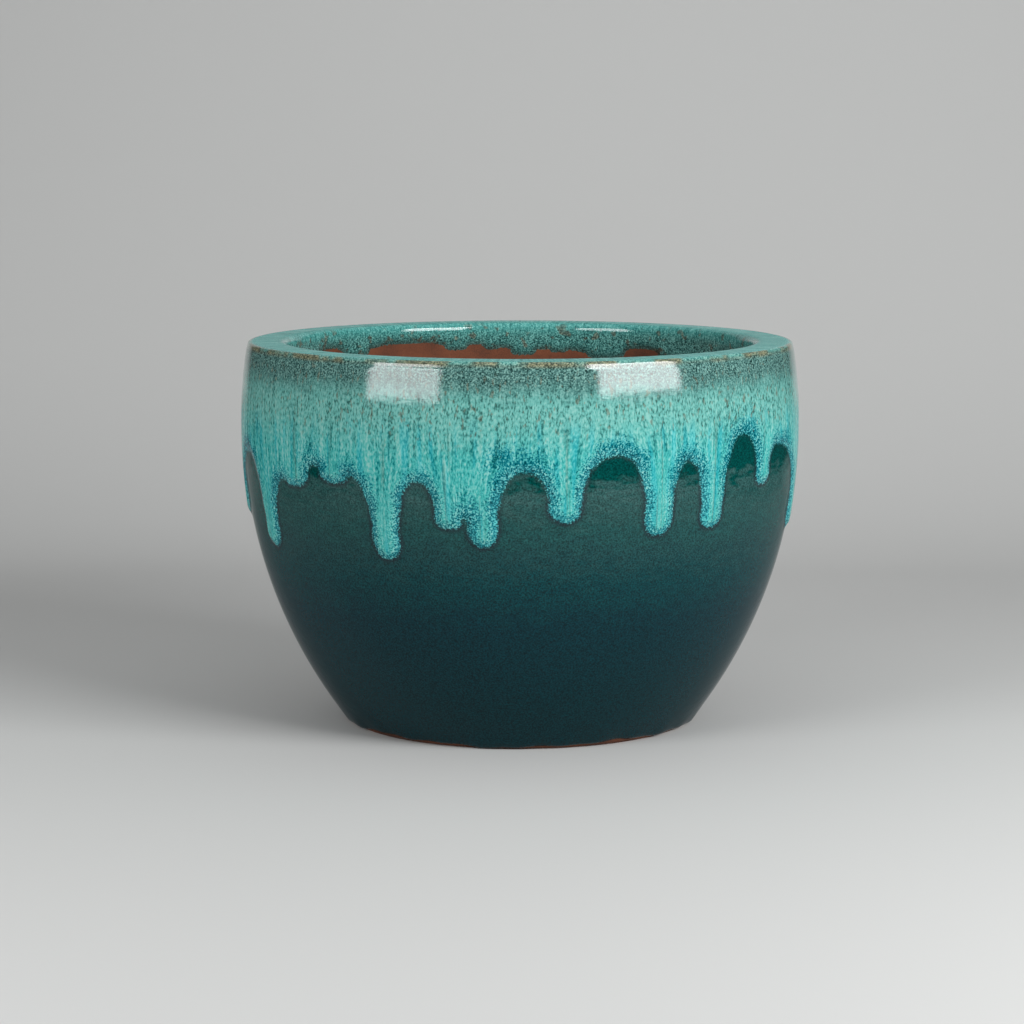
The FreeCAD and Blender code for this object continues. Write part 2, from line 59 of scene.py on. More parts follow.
# How far the poured edge strays from its drawn line
OUTER_WOBBLE = 0.25 * MM
INNER_WOBBLE = 0.1 * MM

Colour = tuple[float, float, float, float]
Socket = bpy.types.NodeSocket
Add = Callable[..., bpy.types.Node]
# Places and hex colours of a colour ramp
Stops = tuple[tuple[float, str], ...]
# A measure, two values of it, and the share of a layer at each of them
Where = tuple[tuple[str, float, float, float, float], ...]
# How often each wave goes round, where it starts, and its height
Waves = tuple[tuple[float, float, float], ...]


class Side(Enum):
    """The two faces of the wall that the poured coat runs down."""

    OUTSIDE = 1
    INSIDE = -1


def linear(code: str) -> Colour:
    """Turns an sRGB hex value into linear RGBA.

    Args:
        code: Six hex digits.

    Returns:
        Red, green and blue in linear light, and full alpha.
    """
    channels = [int(code[i : i + 2], 16) / 255 for i in (0, 2, 4)]
    light = [c / 12.92 if c <= 0.04045 else ((c + 0.055) / 1.055) ** 2.4 for c in channels]
    return (*light, 1.0)


def add_node(
    tree: bpy.types.NodeTree, kind: str, sockets: dict | None = None, stops: Stops = (), **settings: object
) -> bpy.types.Node:
    """Adds a node with its settings, its input values or links, and its colour stops.

    Args:
        tree: The node tree that takes the node.
        kind: The node's type name.
        sockets: Input name or number to a value, to the output socket that feeds it, or to a node whose
            first output in use feeds it.
        stops: Places and hex colours of a colour ramp.
        settings: Properties of the node.

    Returns:
        The new node.
    """
    node = tree.nodes.new(kind)
    for name, value in settings.items():
        setattr(node, name, value)
    for key, value in (sockets or {}).items():
        named = (s for s in node.inputs if s.enabled and s.name == key)
        socket = node.inputs[key] if isinstance(key, int) else next(named)
        if isinstance(value, bpy.types.Node):
            value = next(output for output in value.outputs if output.enabled)
        if isinstance(value, Socket):
            tree.links.new(value, socket)
        else:
            socket.default_value = value
    if stops:
        ramp = node.color_ramp
        while len(ramp.elements) < len(stops):
            ramp.elements.new(1.0)
        for element, (place, code) in zip(ramp.elements, stops):
            element.position = place
            element.color = linear(code)
    return node


def new_material(name: str) -> tuple[bpy.types.Material, Add, Socket]:
    """Starts a material that goes by a piece's own coordinates.

    Args:
        name: The material's name.

    Returns:
        The material, the function that adds a node to it, and the piece's Object coordinates.
    """
    material = bpy.data.materials.new(name)
    material.use_nodes = True
    material.node_tree.nodes.clear()
    add = partial(add_node, material.node_tree)
    return material, add, add("ShaderNodeTexCoord").outputs["Object"]


@dataclass(frozen=True)
class Run:
    """One run of the poured coat, and the arch between it and the next run to its right.

    Angles are in degrees from the front towards +X, heights and widths in millimetres. The pool says how much
    of the blue has gathered above the arch.
    """

    angle: float
    tip: float
    width: float
    arch_angle: float
    arch: float
    pool: float = 0.0


# The runs on the outside, as the photograph shows them in front and in the same manner at the back
OUTER_RUNS = (
    Run(-62.5, 103.0, 16.0, -54.8, 140.2, 0.5),
    Run(-50.0, 137.8, 17.6, -45.2, 149.8, 1.0),
    Run(-39.5, 142.0, 17.6, -35.0, 145.6, 0.7),
    Run(-27.5, 105.1, 14.4, -20.5, 145.6, 0.35),
    Run(-14.2, 121.9, 12.8, -10.9, 128.2, 1.2),
    Run(-7.4, 113.2, 14.1, 0.6, 151.0, 1.3),
    Run(8.6, 125.5, 16.0, 19.0, 158.8, 0.6),
    Run(28.0, 117.1, 14.7, 34.2, 154.0, 0.75),
    Run(41.0, 118.6, 14.4, 49.2, 164.8, 1.1),
    Run(57.0, 136.9, 13.6, 62.8, 156.4, 0.5),
    Run(80.0, 107.2, 20.0, 91.0, 154.0, 0.6),
    Run(99.0, 128.8, 14.4, 106.5, 148.0, 0.9),
    Run(115.0, 110.2, 15.2, 122.5, 157.0, 0.5),
    Run(130.5, 132.4, 16.0, 137.0, 145.0, 1.1),
    Run(143.5, 119.2, 12.8, 149.5, 139.6, 0.4),
    Run(155.5, 104.2, 15.2, 164.5, 160.0, 0.8),
    Run(174.0, 124.0, 16.8, 182.0, 150.4, 1.0),
    Run(189.5, 136.0, 15.2, 195.5, 146.8, 0.5),
    Run(203.0, 108.4, 14.4, 212.0, 155.2, 1.2),
    Run(220.0, 126.4, 13.6, 226.5, 142.0, 0.6),
    Run(233.0, 115.6, 15.2, 241.5, 157.6, 0.9),
    Run(250.0, 139.0, 16.0, 257.0, 149.2, 0.4),
    Run(274.0, 112.0, 25.6, 287.5, 149.8, 0.8),
)

# The short scallops inside the lip
INNER_RUNS = (
    Run(-172.5, 189.7, 8.0, -168.1, 192.8),
    Run(-163.1, 189.4, 14.0, -150.1, 194.4),
    Run(-133.0, 187.5, 20.0, -123.4, 194.2),
    Run(-112.0, 185.0, 22.0, -99.0, 191.6),
    Run(-88.0, 187.0, 22.0, -76.0, 192.0),
    Run(-64.0, 185.2, 25.0, -52.0, 190.4),
    Run(-40.0, 187.8, 21.0, -29.0, 191.6),
    Run(-17.0, 184.6, 24.0, -5.0, 190.0),
    Run(8.0, 186.8, 22.0, 19.0, 192.2),
    Run(31.0, 185.2, 23.0, 43.0, 190.8),
    Run(56.0, 187.6, 21.0, 66.0, 191.8),
    Run(78.0, 184.6, 26.0, 91.0, 190.0),
    Run(103.0, 186.8, 22.0, 114.0, 191.6),
    Run(131.0, 184.8, 46.0, 146.8, 191.8),
    Run(157.0, 184.8, 24.0, 167.3, 189.2),
    Run(170.0, 188.0, 9.0, 173.5, 189.8),
    Run(179.1, 186.1, 14.0, 184.9, 190.8),
)


@dataclass(frozen=True)
class PotForm:
    """The turned form of the pot: the clay's own profile and the thickness of both coats."""

    height: float
    belly_radius: float
    belly_height: float = 160 * MM
    foot_radius: float = 93 * MM
    foot_width: float = 17 * MM
    foot_recess: float = 4 * MM
    foot_edge: float = 1.2 * MM
    wall: float = 13 * MM
    floor_thick: float = 14 * MM
    cove_radius: float = 22 * MM
    rim_flat: float = 9.4 * MM
    lip_depth: float = 24 * MM
    lip_taper: float = 16 * MM
    rim_outer_round: float = 2.6 * MM
    rim_inner_round: float = 6 * MM
    drain_radius: float = 11 * MM
    dark_coat: float = 0.8 * MM
    run_coat: float = 1.0 * MM
    run_swell: float = 1.2 * MM
    run_drop: float = 60 * MM
    lip_drop: float = 20 * MM
    bare_foot: float = 2 * MM

    @classmethod
    def from_frame(cls) -> "PotForm":
        """Takes the clay's height and widest radius from its CAD node."""
        low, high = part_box("clay_pot")
        return cls(height=high[2], belly_radius=(high[0] - low[0]) / 2)

    @property
    def wall_arc(self) -> float:
        """Radius of the one arc that the outer wall follows."""
        spread = self.belly_radius - self.foot_radius
        return (spread**2 + self.belly_height**2) / (2 * spread)

    @property
    def wall_centre(self) -> float:
        """Distance from the axis to that arc's centre."""
        return self.belly_radius - self.wall_arc

    @property
    def coats(self) -> float:
        """Thickness of both coats together."""
        return self.dark_coat + self.run_coat

    @property
    def rim_centre(self) -> tuple[float, float]:
        """Radius and height of the centre of the rim's outer rounding."""
        height = self.height - self.rim_outer_round
        rise = height - self.belly_height
        reach = self.wall_arc - self.rim_outer_round
        return self.wall_centre + math.sqrt(reach**2 - rise**2), height

    @property
    def mouth_radius(self) -> float:
        """Radius of the mouth inside the lip."""
        return self.rim_centre[0] - self.rim_flat - self.rim_inner_round

    @property
    def rim_angle(self) -> float:
        """Angle at which the rim's outer rounding meets the wall."""
        radius, height = self.rim_centre
        return math.atan2(height - self.belly_height, radius - self.wall_centre)

    def wall_angle(self, height: float, offset: float = 0.0) -> float:
        """Angle about the wall's centre where the wall, moved out by an offset, has a height."""
        return math.asin((height - self.belly_height) / (self.wall_arc + offset))

    def wall_points(self, low: float, high: float, step: float, offset: float = 0.0) -> np.ndarray:
        """Points of the outer wall between two angles about its centre.

        Args:
            low: First angle.
            high: Last angle.
            step: Spacing of the points, in metres.
            offset: How far outside the clay they lie.

        Returns:
            Rows of radius and height.
        """
        return arc_points((self.wall_centre, self.belly_height), self.wall_arc + offset, low, high, step)


def arc_points(
    centre: tuple[float, float], radius: float, start: float, end: float, step: float
) -> np.ndarray:
    """Points along an arc of the profile, both ends included.

    Args:
        centre: Radius and height of the arc's centre.
        radius: Its radius.
        start: First angle.
        end: Last angle.
        step: Spacing of the points, in metres.

    Returns:
        Rows of radius and height.
    """
    count = max(2, round(abs(end - start) * radius / step) + 1)
    angles = np.linspace(start, end, count)
    return np.column_stack([centre[0] + radius * np.cos(angles), centre[1] + radius * np.sin(angles)])


def line_points(start: tuple[float, float], end: tuple[float, float], step: float) -> np.ndarray:
    """Points along a straight stretch of the profile, both ends included.

    Args:
        start: Radius and height of the first point.
        end: Radius and height of the last point.
        step: Spacing of the points, in metres.

    Returns:
        Rows of radius and height.
    """
    count = max(2, round(math.dist(start, end) / step) + 1)
    return np.column_stack([np.linspace(start[0], end[0], count), np.linspace(start[1], end[1], count)])


def join_stretches(stretches: list[np.ndarray]) -> np.ndarray:
    """Joins stretches of a profile into one line, without repeated points."""
    line = np.vstack(stretches)
    keep = np.r_[True, np.linalg.norm(np.diff(line, axis=0), axis=1) > NEAR]
    return line[keep]


def add_waves(turn: np.ndarray, waves: Waves) -> np.ndarray:
    """Adds up waves round the pot, by the angle of each point."""
    return sum(height * np.sin(count * turn + start) for count, start, height in waves)


def turn_on_wheel(name: str, profile: np.ndarray, columns: int) -> bpy.types.Object:
    """Spins a closed profile round Z into a closed mesh, smooth shaded.

    Args:
        name: Name of the piece.
        profile: Rows of radius and height, the last joined to the first.
        columns: Number of steps round the axis.

    Returns:
        The new object, at the origin.
    """
    bpy.ops.object.select_all(action="DESELECT")
    bpy.ops.mesh.primitive_circle_add(vertices=len(profile), radius=1.0, location=(0, 0, 0))
    piece = bpy.context.active_object
    piece.name = name
    piece.data.name = name
    spots = np.column_stack([profile[:, 0], np.zeros(len(profile)), profile[:, 1]])
    piece.data.vertices.foreach_set("co", spots.ravel())
    bpy.ops.object.mode_set(mode="EDIT")
    bpy.ops.mesh.select_all(action="SELECT")
    bpy.ops.mesh.spin(steps=columns, angle=2 * math.pi, center=(0, 0, 0), axis=(0, 0, 1))
    bpy.ops.mesh.select_all(action="SELECT")
    bpy.ops.mesh.remove_doubles(threshold=NEAR)
    bpy.ops.mesh.normals_make_consistent(inside=False)
    bpy.ops.object.mode_set(mode="OBJECT")
    bpy.ops.object.shade_smooth()
    return piece


def vertex_places(piece: bpy.types.Object) -> np.ndarray:
    """Reads the places of a piece's vertices as rows of x, y and z."""
    places = np.empty(len(piece.data.vertices) * 3)
    piece.data.vertices.foreach_get("co", places)
    return places.reshape(-1, 3)


def set_attribute(piece: bpy.types.Object, name: str, values: np.ndarray) -> None:
    """Stores a number or a vector for each vertex, for the piece's material to read.

    Args:
        piece: The piece.
        name: Name of the attribute.
        values: One value, or a row of three, for each vertex.
    """
    vector = values.ndim == 2
    kind, field = ("FLOAT_VECTOR", "vector") if vector else ("FLOAT", "value")
    attribute = piece.data.attributes.new(name, kind, "POINT")
    attribute.data.foreach_set(field, np.ascontiguousarray(values, dtype=np.float32).ravel())


class PouredEdge:
    """The lower edge of the poured coat on one side of the wall, as a closed line round the pot.

    Points are (distance round the pot, height, pool). The distance is taken at one radius, and the pool grows
    from 0 at a run's tip to the arch's own at its top.
    """

    TIP_DEPTH = 1.0  # depth of a round tip as a share of half the run's width
    TIP_RISE = 0.5  # most of the way up to an arch that a round tip may take
    FLARE = 0.85  # share of a run's side that belongs to the arch beside it
    SPACING = 0.25 * MM
    ROUND_POINTS = 24
    WAVES_ACROSS = ((97, 1.3, 1.0), (173, 0.4, 0.7))
    WAVES_UP = ((83, 2.1, 1.0), (211, 4.0, 0.7))

    def __init__(self, runs: tuple[Run, ...], radius: float, wobble: float) -> None:
        """Draws the edge and prepares the search for its nearest point.

        Args:
            runs: The runs in order round the pot.
            radius: The radius at which distances round the pot are taken.
            wobble: How far the hand-poured edge strays from its drawn line.
        """
        self.runs = runs
        self.radius = radius
        self.round_trip = 2 * math.pi * radius
        line = self._wavered(self._drawn(), wobble)
        ahead, behind = np.roll(line, -1, axis=0), np.roll(line, 1, axis=0)
        ahead[-1, 0] += self.round_trip
        behind[0, 0] -= self.round_trip
        along = (ahead - behind)[:, :2]
        along /= np.linalg.norm(along, axis=1)[:, None]
        into_coat = np.column_stack([-along[:, 1], along[:, 0]])
        shifts = (-self.round_trip, 0.0, self.round_trip)
        self.points = np.vstack([line + (shift, 0.0, 0.0) for shift in shifts])
        self.normals = np.vstack([into_coat] * len(shifts))
        self.tree = kdtree.KDTree(len(self.points))
        for index, (across, height, _) in enumerate(self.points):
            self.tree.insert((across, height, 0.0), index)
        self.tree.balance()

    def _drawn(self) -> np.ndarray:
        """The edge as quarter ellipses at tips and arches with straight sides between them."""
        stretches = []
        for run, following in zip(self.runs, self.runs[1:] + self.runs[:1]):
            turn = 360.0 if following is self.runs[0] else 0.0
            arch = np.array([math.radians(run.arch_angle) * self.radius, run.arch * MM])
            for tip, angle, way in ((run, run.angle, 1), (following, following.angle + turn, -1)):
                half = self._half_gap(tip, angle, arch, way)
                half[:, 2] *= run.pool
                stretches.append(half[::way])
        return self._even(join_stretches(stretches))

    def _half_gap(self, run: Run, angle: float, arch: np.ndarray, way: float) -> np.ndarray:
        """The edge from one run's tip up to the top of an arch beside it.

        Args:
            run: The run.
            angle: Its angle in degrees.
            arch: Place of the arch's top.
            way: 1 for the arch on the right, -1 for the one on the left.

        Returns:
            Points of the tip's round, the side and the flare into the arch, with a share that grows from 0
            to 1 on the way.
        """
        tip = np.array([math.radians(angle) * self.radius, run.tip * MM])
        half = run.width * MM / 2
        rise = arch[1] - tip[1]
        side = tip[0] + way * half
        low = tip[1] + min(half * self.TIP_DEPTH, rise * self.TIP_RISE)
        high = arch[1] - (arch[1] - low) * self.FLARE
        turn = np.linspace(0.0, math.pi / 2, self.ROUND_POINTS)
        tip_round = np.column_stack(
            [tip[0] + (side - tip[0]) * np.sin(turn), low - (low - tip[1]) * np.cos(turn)]
        )
        flare = np.column_stack(
            [arch[0] + (side - arch[0]) * np.cos(turn), high + (arch[1] - high) * np.sin(turn)]
        )
        places = join_stretches([tip_round, line_points((side, low), (side, high), self.SPACING), flare])
        return np.column_stack([places, ((places[:, 1] - tip[1]) / rise) ** 2])

    def _even(self, line: np.ndarray) -> np.ndarray:
        """Spaces the points of the closed edge evenly along it."""
        closed = np.vstack([line, line[:1] + (self.round_trip, 0.0, 0.0)])
        lengths = np.r_[0.0, np.cumsum(np.linalg.norm(np.diff(closed[:, :2], axis=0), axis=1))]
        places = np.arange(0.0, lengths[-1], self.SPACING)
        return np.column_stack([np.interp(places, lengths, column) for column in closed.T])

    def _wavered(self, line: np.ndarray, wobble: float) -> np.ndarray:
        """Lets the edge stray a little, in waves that close after one trip round the pot."""
        turn = np.linspace(0.0, 2 * math.pi, len(line), endpoint=False)
        across, height = (add_waves(turn, waves) for waves in (self.WAVES_ACROSS, self.WAVES_UP))
        return line + wobble * np.column_stack([across, height, np.zeros(len(line))])

    def measure(self, angle: np.ndarray, height: np.ndarray) -> tuple[np.ndarray, np.ndarray]:
        """Finds how far points lie inside the coat.

        Args:
            angle: Their angles round the pot.
            height: Their heights.

        Returns:
            The distance to the edge, negative outside the coat, and the nearest points of the edge.
        """
        places = np.column_stack([angle * self.radius, height])
        found = np.array([self.tree.find((a, h, 0.0))[1] for a, h in places])
        away = places - self.points[found, :2]
        inside = np.einsum("ij,ij->i", away, self.normals[found])
        distance = np.copysign(np.linalg.norm(away, axis=1), inside)
        return distance, self.points[found]

    def parted(self, angle: np.ndarray, height: np.ndarray, reach: float) -> np.ndarray:
        """Follows the flow of the glaze back up to where it started.

        The gap between two runs parts the flow as a blunt post parts a stream, so that streaks bend round the
        arches and crowd together in the runs.

        Args:
            angle: Angles round the pot.
            height: Heights.
            reach: How far round the pot one gap is felt.

        Returns:
            The angle at which each point's streak starts under the rim.
        """
        across = angle * self.radius
        start = across.copy()
        for run, following in zip(self.runs, self.runs[1:] + self.runs[:1]):
            turn = self.round_trip if following is self.runs[0] else 0.0
            left = math.radians(run.angle) * self.radius + run.width * MM / 2
            right = math.radians(following.angle) * self.radius + turn - following.width * MM / 2
            half = (right - left) / 2
            middle = math.radians(run.arch_angle) * self.radius
            aside = (across - middle + self.round_trip / 2) % self.round_trip - self.round_trip / 2
            turned = np.arctan2(aside, height - run.arch * MM + half / math.pi)
            felt = np.clip(2 - np.abs(aside) / reach, 0.0, 1.0)
            start -= half / math.pi * turned * felt
        return start / self.radius

    def aside(self, angle: np.ndarray) -> np.ndarray:
        """Distance round the pot from the middle of the nearest run, to the right positive."""
        turns = (angle - math.radians(run.angle) for run in self.runs)
        gaps = np.array([np.remainder(turn + math.pi, 2 * math.pi) - math.pi for turn in turns])
        nearest = np.argmin(np.abs(gaps), axis=0)
        return np.take_along_axis(gaps, nearest[None], axis=0)[0] * self.radius


@dataclass(frozen=True)
class FiredClay:
    """Terracotta, thrown on the wheel and left bare: matt, gritty, a little uneven in colour."""

    tones: Stops = ((0.32, "3C2314"), (0.5, "63351E"), (0.7, "7A4528"))
    roughness: float = 0.85
    ior: float = 1.5
    grit_mm: float = 0.7
    grit_share: float = 0.45
    grit_strength: float = 0.35
    grit_height: float = 0.15 * MM
    cloud_mm: float = 18.0

    def build(self) -> bpy.types.Material:
        """Makes the material.

        Returns:
            The material.
        """
        material, add, place = new_material("bare_terracotta")
        grit = add(
            "ShaderNodeTexNoise",
            {"Vector": place, "Scale": 1 / (self.grit_mm * MM), "Detail": 3.0, "Roughness": 0.65},
        )
        cloud = add("ShaderNodeTexNoise", {"Vector": place, "Scale": 1 / (self.cloud_mm * MM), "Detail": 4.0})
        tone = add("ShaderNodeMix", {"Factor": self.grit_share, "A": cloud, "B": grit}, data_type="FLOAT")
        bump = add(
            "ShaderNodeBump", {"Height": grit, "Strength": self.grit_strength, "Distance": self.grit_height}
        )
        shader = add(
            "ShaderNodeBsdfPrincipled",
            {
                "Base Color": add("ShaderNodeValToRGB", {"Fac": tone}, self.tones),
                "Roughness": self.roughness,
                "IOR": self.ior,
                "Normal": bump,
            },
        )
        add("ShaderNodeOutputMaterial", {"Surface": shader})
        return material


@dataclass(frozen=True)
class DarkGlaze:
    """Copper-green stoneware glaze, dipped and fired glossy.

    To the eye it is nearly black with a green depth, bluer near the foot. A grey band below the runs is painted
    reflection of the table, which breaks up into dark green islands between them. It has a fine grain and a
    surface that is not quite even, so reflections break up in it. The gloss is all in a thin clear coat, in
    which the table shows as faintly as on the object.
    """

    # Colour by height: the grey stops from 0.638 to 0.885 are painted reflection of the table, not the glaze's
    # own colour
    heights: Stops = (
        (0.0, "02343B"),
        (0.346, "033740"),
        (0.515, "074449"),
        (0.638, "1D4D4F"),
        (0.73, "205655"),
        (0.83, "2E5C5A"),
        (0.885, "3A6563"),
        (0.938, "034F4B"),
        (1.0, "034D4A"),
    )
    grains: Stops = ((0.3, "989898"), (0.7, "FFFFFF"))
    roughness: tuple[float, float] = (0.06, 0.11)
    ior: float = 1.02
    gloss: float = 0.38
    gloss_roughness: float = 0.06
    fleck_mm: float = 0.8
    wave_mm: tuple[float, float] = (8.0, 3.5)
    wave_height: float = 0.1 * MM
    waver: float = 26 * MM
    low: float = 25 * MM
    high: float = 155 * MM

    def build(self) -> bpy.types.Material:
        """Makes the material.

        Returns:
            The material.
        """
        material, add, place = new_material("dark_copper_glaze")
        grain = self.grain(add, place)
        (finest, _), (coarsest, _) = self.grains
        smooth, grainy = self.roughness
        rough = add(
            "ShaderNodeMapRange",
            {"Value": grain, "From Min": finest, "From Max": coarsest, "To Min": smooth, "To Max": grainy},
        )
        bump = add("ShaderNodeBump", {"Height": self.surface(add, place), "Distance": self.wave_height})
        shader = add(
            "ShaderNodeBsdfPrincipled",
            {
                "Base Color": self.colour(add, place, grain),
                "Roughness": rough,
                "IOR": self.ior,
                "Normal": bump,
                "Coat Weight": self.gloss,
                "Coat Roughness": self.gloss_roughness,
                "Coat Normal": bump,
            },
        )
        add("ShaderNodeOutputMaterial", {"Surface": shader})
        return material

    def grain(self, add: Add, place: Socket) -> Socket:
        """Adds the fine grain of copper in the glaze.

        Args:
            add: Adds a node to the material.
            place: Object coordinates.

        Returns:
            The grain.
        """
        sockets = {"Vector": place, "Scale": 1 / (self.fleck_mm * MM), "Detail": 1.0}
        return add("ShaderNodeTexNoise", sockets).outputs[0]

    def colour(self, add: Add, place: Socket, grain: Socket) -> Socket:
        """Adds the colour of the glaze, which the poured coat shows too where it thins out.

        Args:
            add: Adds a node to the material.
            place: Object coordinates.
            grain: The fine grain.

        Returns:
            The colour.
        """
        split = add("ShaderNodeSeparateXYZ", {0: place})
        wavering = add(
            "ShaderNodeMath",
            {0: self.surface(add, place), 1: self.waver, 2: split.outputs["Z"]},
            operation="MULTIPLY_ADD",
        )
        middle = self.waver / 2
        height = add(
            "ShaderNodeMapRange",
            {"Value": wavering, "From Min": self.low + middle, "From Max": self.high + middle},
        )
        # The grey stops of this ramp are painted reflection of the table, wavered so that dark green islands
        # stay between the runs
        ground = add("ShaderNodeValToRGB", {"Fac": height}, self.heights)
        shade = add("ShaderNodeValToRGB", {"Fac": grain}, self.grains)
        return add(
            "ShaderNodeMix", {"Factor": 1.0, "A": ground, "B": shade}, data_type="RGBA", blend_type="MULTIPLY"
        ).outputs[2]

    def surface(self, add: Add, place: Socket) -> Socket:
        """Adds the low waves that are left in the glaze from dipping.

        Args:
            add: Adds a node to the material.
            place: Object coordinates.

        Returns:
            The height of the surface.
        """
        across, upright = (1 / (size * MM) for size in self.wave_mm)
        lying = add("ShaderNodeMapping", {"Vector": place, "Scale": (across, across, upright)})
        return add("ShaderNodeTexNoise", {"Vector": lying, "Scale": 1.0, "Detail": 1.0}).outputs[0]


@dataclass(frozen=True)
class Grain:
    """A noise in the poured glaze: whether it follows the flow, its width, its drawn-out length, its detail."""

    name: str
    flows: bool
    width_mm: float
    stretch: float = 1.0
    detail: float = 1.0


@dataclass(frozen=True)
class Veil:
    """One layer of the poured glaze: its specks from dark to pale, and where it shows."""

    specks: tuple[str, ...]
    where: Where = ()


@dataclass(frozen=True)
class PouredGlaze:
    """Titanium turquoise glaze, poured over the rim and run in the kiln.

    To the eye it is dark and gritty where it drew thin under the rim, pale and streaked further down, and
    deep blue in specks along its edge, where it thins out over the dark glaze. The clay's iron breaks through
    as ochre on the rim's sharp edge, as rust specks below it and as stains inside the lip. Its clear gloss is
    full under the rim and inside the lip, and thin on top and in the runs.
    """

    grains: tuple[Grain, ...] = (
        Grain("cloud", False, 14.0, detail=2.0),
        Grain("stain", False, 6.0, detail=2.0),
        Grain("speck", False, 0.84),
        Grain("drawn", True, 0.92, 2.1),
        Grain("streak", True, 2.1, 14.0),
        Grain("stream", True, 4.0, 12.0),
        Grain("spot", True, 1.9, 2.2),
        Grain("thread", True, 2.6, 30.0),
    )
    veils: tuple[Veil, ...] = (
        Veil(("14302F", "3E7672", "78B8B0")),
        Veil(("2A7A77", "50AFA9", "8AD4CC"), (("fall", -20 * MM, -10 * MM, 0, 1),)),
        Veil(("142F2D", "48726E", "7CA8A0"), (("fall", 1.4 * MM, 3 * MM, 0, 1),)),
        Veil(("30625C", "66ADA5", "84BCB4"), (("uneven", 8 * MM, 25 * MM, 0, 1),)),
        Veil(("0C7273", "48B0AB", "8CC4BD"), (("uneven", 26 * MM, 52 * MM, 0, 1),)),
        Veil(
            ("067A84", "1A9AA3", "50C0C0"),
            (("stream", 0.53, 0.66, 0, 0.7), ("uneven", 24 * MM, 44 * MM, 0, 1)),
        ),
        Veil(
            ("2E5A54", "4A7A72", "6A9A90"),
            (
                ("spine", 0.5 * MM, 1.6 * MM, 0.55, 0),
                ("thread", 0.44, 0.56, 0, 1),
                ("fall", 26 * MM, 42 * MM, 0, 1),
            ),
        ),
        Veil(("00464E", "1C808A", "62C4C3"), (("nearness", 0.7, 1.1, 1, 0), ("fall", -8 * MM, 0, 0, 1))),
        Veil(
            ("00343C", "00626D", "2C9CA4"),
            (("nearness", 0.4, 0.8, 1, 0), ("pool", 0.1, 0.6, 0, 1), ("fall", -8 * MM, 0, 0, 1)),
        ),
        Veil(
            ("4A4A3C", "686654", "82806C"),
            (
                ("spot", 0.61, 0.7, 0, 0.58),
                ("uneven", 2 * MM, 10 * MM, 0, 1),
                ("uneven", 30 * MM, 50 * MM, 1, 0),
            ),
        ),
        Veil(
            ("3C3426", "6E6244", "A29268"),
            (
                ("cloud", 0.4, 0.6, 0.2, 0.8),
                ("fall", 0.9 * MM, 1.7 * MM, 0, 1),
                ("fall", 2.2 * MM, 4.0 * MM, 1, 0),
            ),
        ),
        Veil(
            ("2A221B", "574636", "84704F"),
            (("stain", 0.57, 0.66, 0, 0.6), ("fall", -16 * MM, -12 * MM, 1, 0)),
        ),
        Veil(("33251D",), (("depth", 0.1 * MM, 3 * MM, 0.6, 0), ("fall", -16 * MM, -12 * MM, 1, 0))),
    )
    halo: Veil = Veil(("1C232B",), (("depth", -3.6 * MM, -0.6 * MM, 0, 0.8), ("pool", 0.1, 0.5, 1, 0.3)))
    covers_outside: Where = (("fray", 0.5 * MM, 2.5 * MM, 0, 1),)
    covers_inside: Where = (("fall", -12 * MM, -8 * MM, 1, 0),)
    firm: Where = (("depth", 2 * MM, 9 * MM, 0, 1),)
    wavy: Where = (("depth", -2 * MM, 2 * MM, 1, 0.3),)
    gritty: Where = (("depth", -2 * MM, 1 * MM, 0, 0.2),)
    over_rim: tuple[float, float] = (-25 * MM, 45 * MM)
    drawing: Stops = (
        (0.07, "000000"),
        (0.14, "B4B4B4"),
        (0.3, "B4B4B4"),
        (0.34, "000000"),
        (0.47, "000000"),
        (0.68, "FFFFFF"),
    )
    running: Stops = (
        (0.17, "616161"),
        (0.22, "B2B2B2"),
        (0.33, "B2B2B2"),
        (0.38, "616161"),
        (0.47, "616161"),
        (1.0, "AEAEAE"),
    )
    gloss: Stops = (
        (0.15, "F9F9F9"),
        (0.18, "404040"),
        (0.36, "404040"),
        (0.385, "F9F9F9"),
        (0.67, "F9F9F9"),
        (0.86, "A6A6A6"),
    )
    unevenness: float = 12 * MM
    spine_waver: float = 8 * MM
    blue_width: tuple[float, float] = (5.5 * MM, 24 * MM)
    fullest_pool: float = 1.3
    blue_cloud: float = 1.2
    blue_speck: float = 1.9
    blue_start: float = 1.05
    fraying: float = 3.4 * MM
    soft_specks: tuple[float, float] = (0.13, 0.87)
    contrast: tuple[float, float] = (0.33, 0.67)
    grit_height: float = 0.1 * MM
    gloss_roughness: float = 0.07
    roughness: tuple[float, float] = (0.07, 0.12)
    ior: float = 1.02

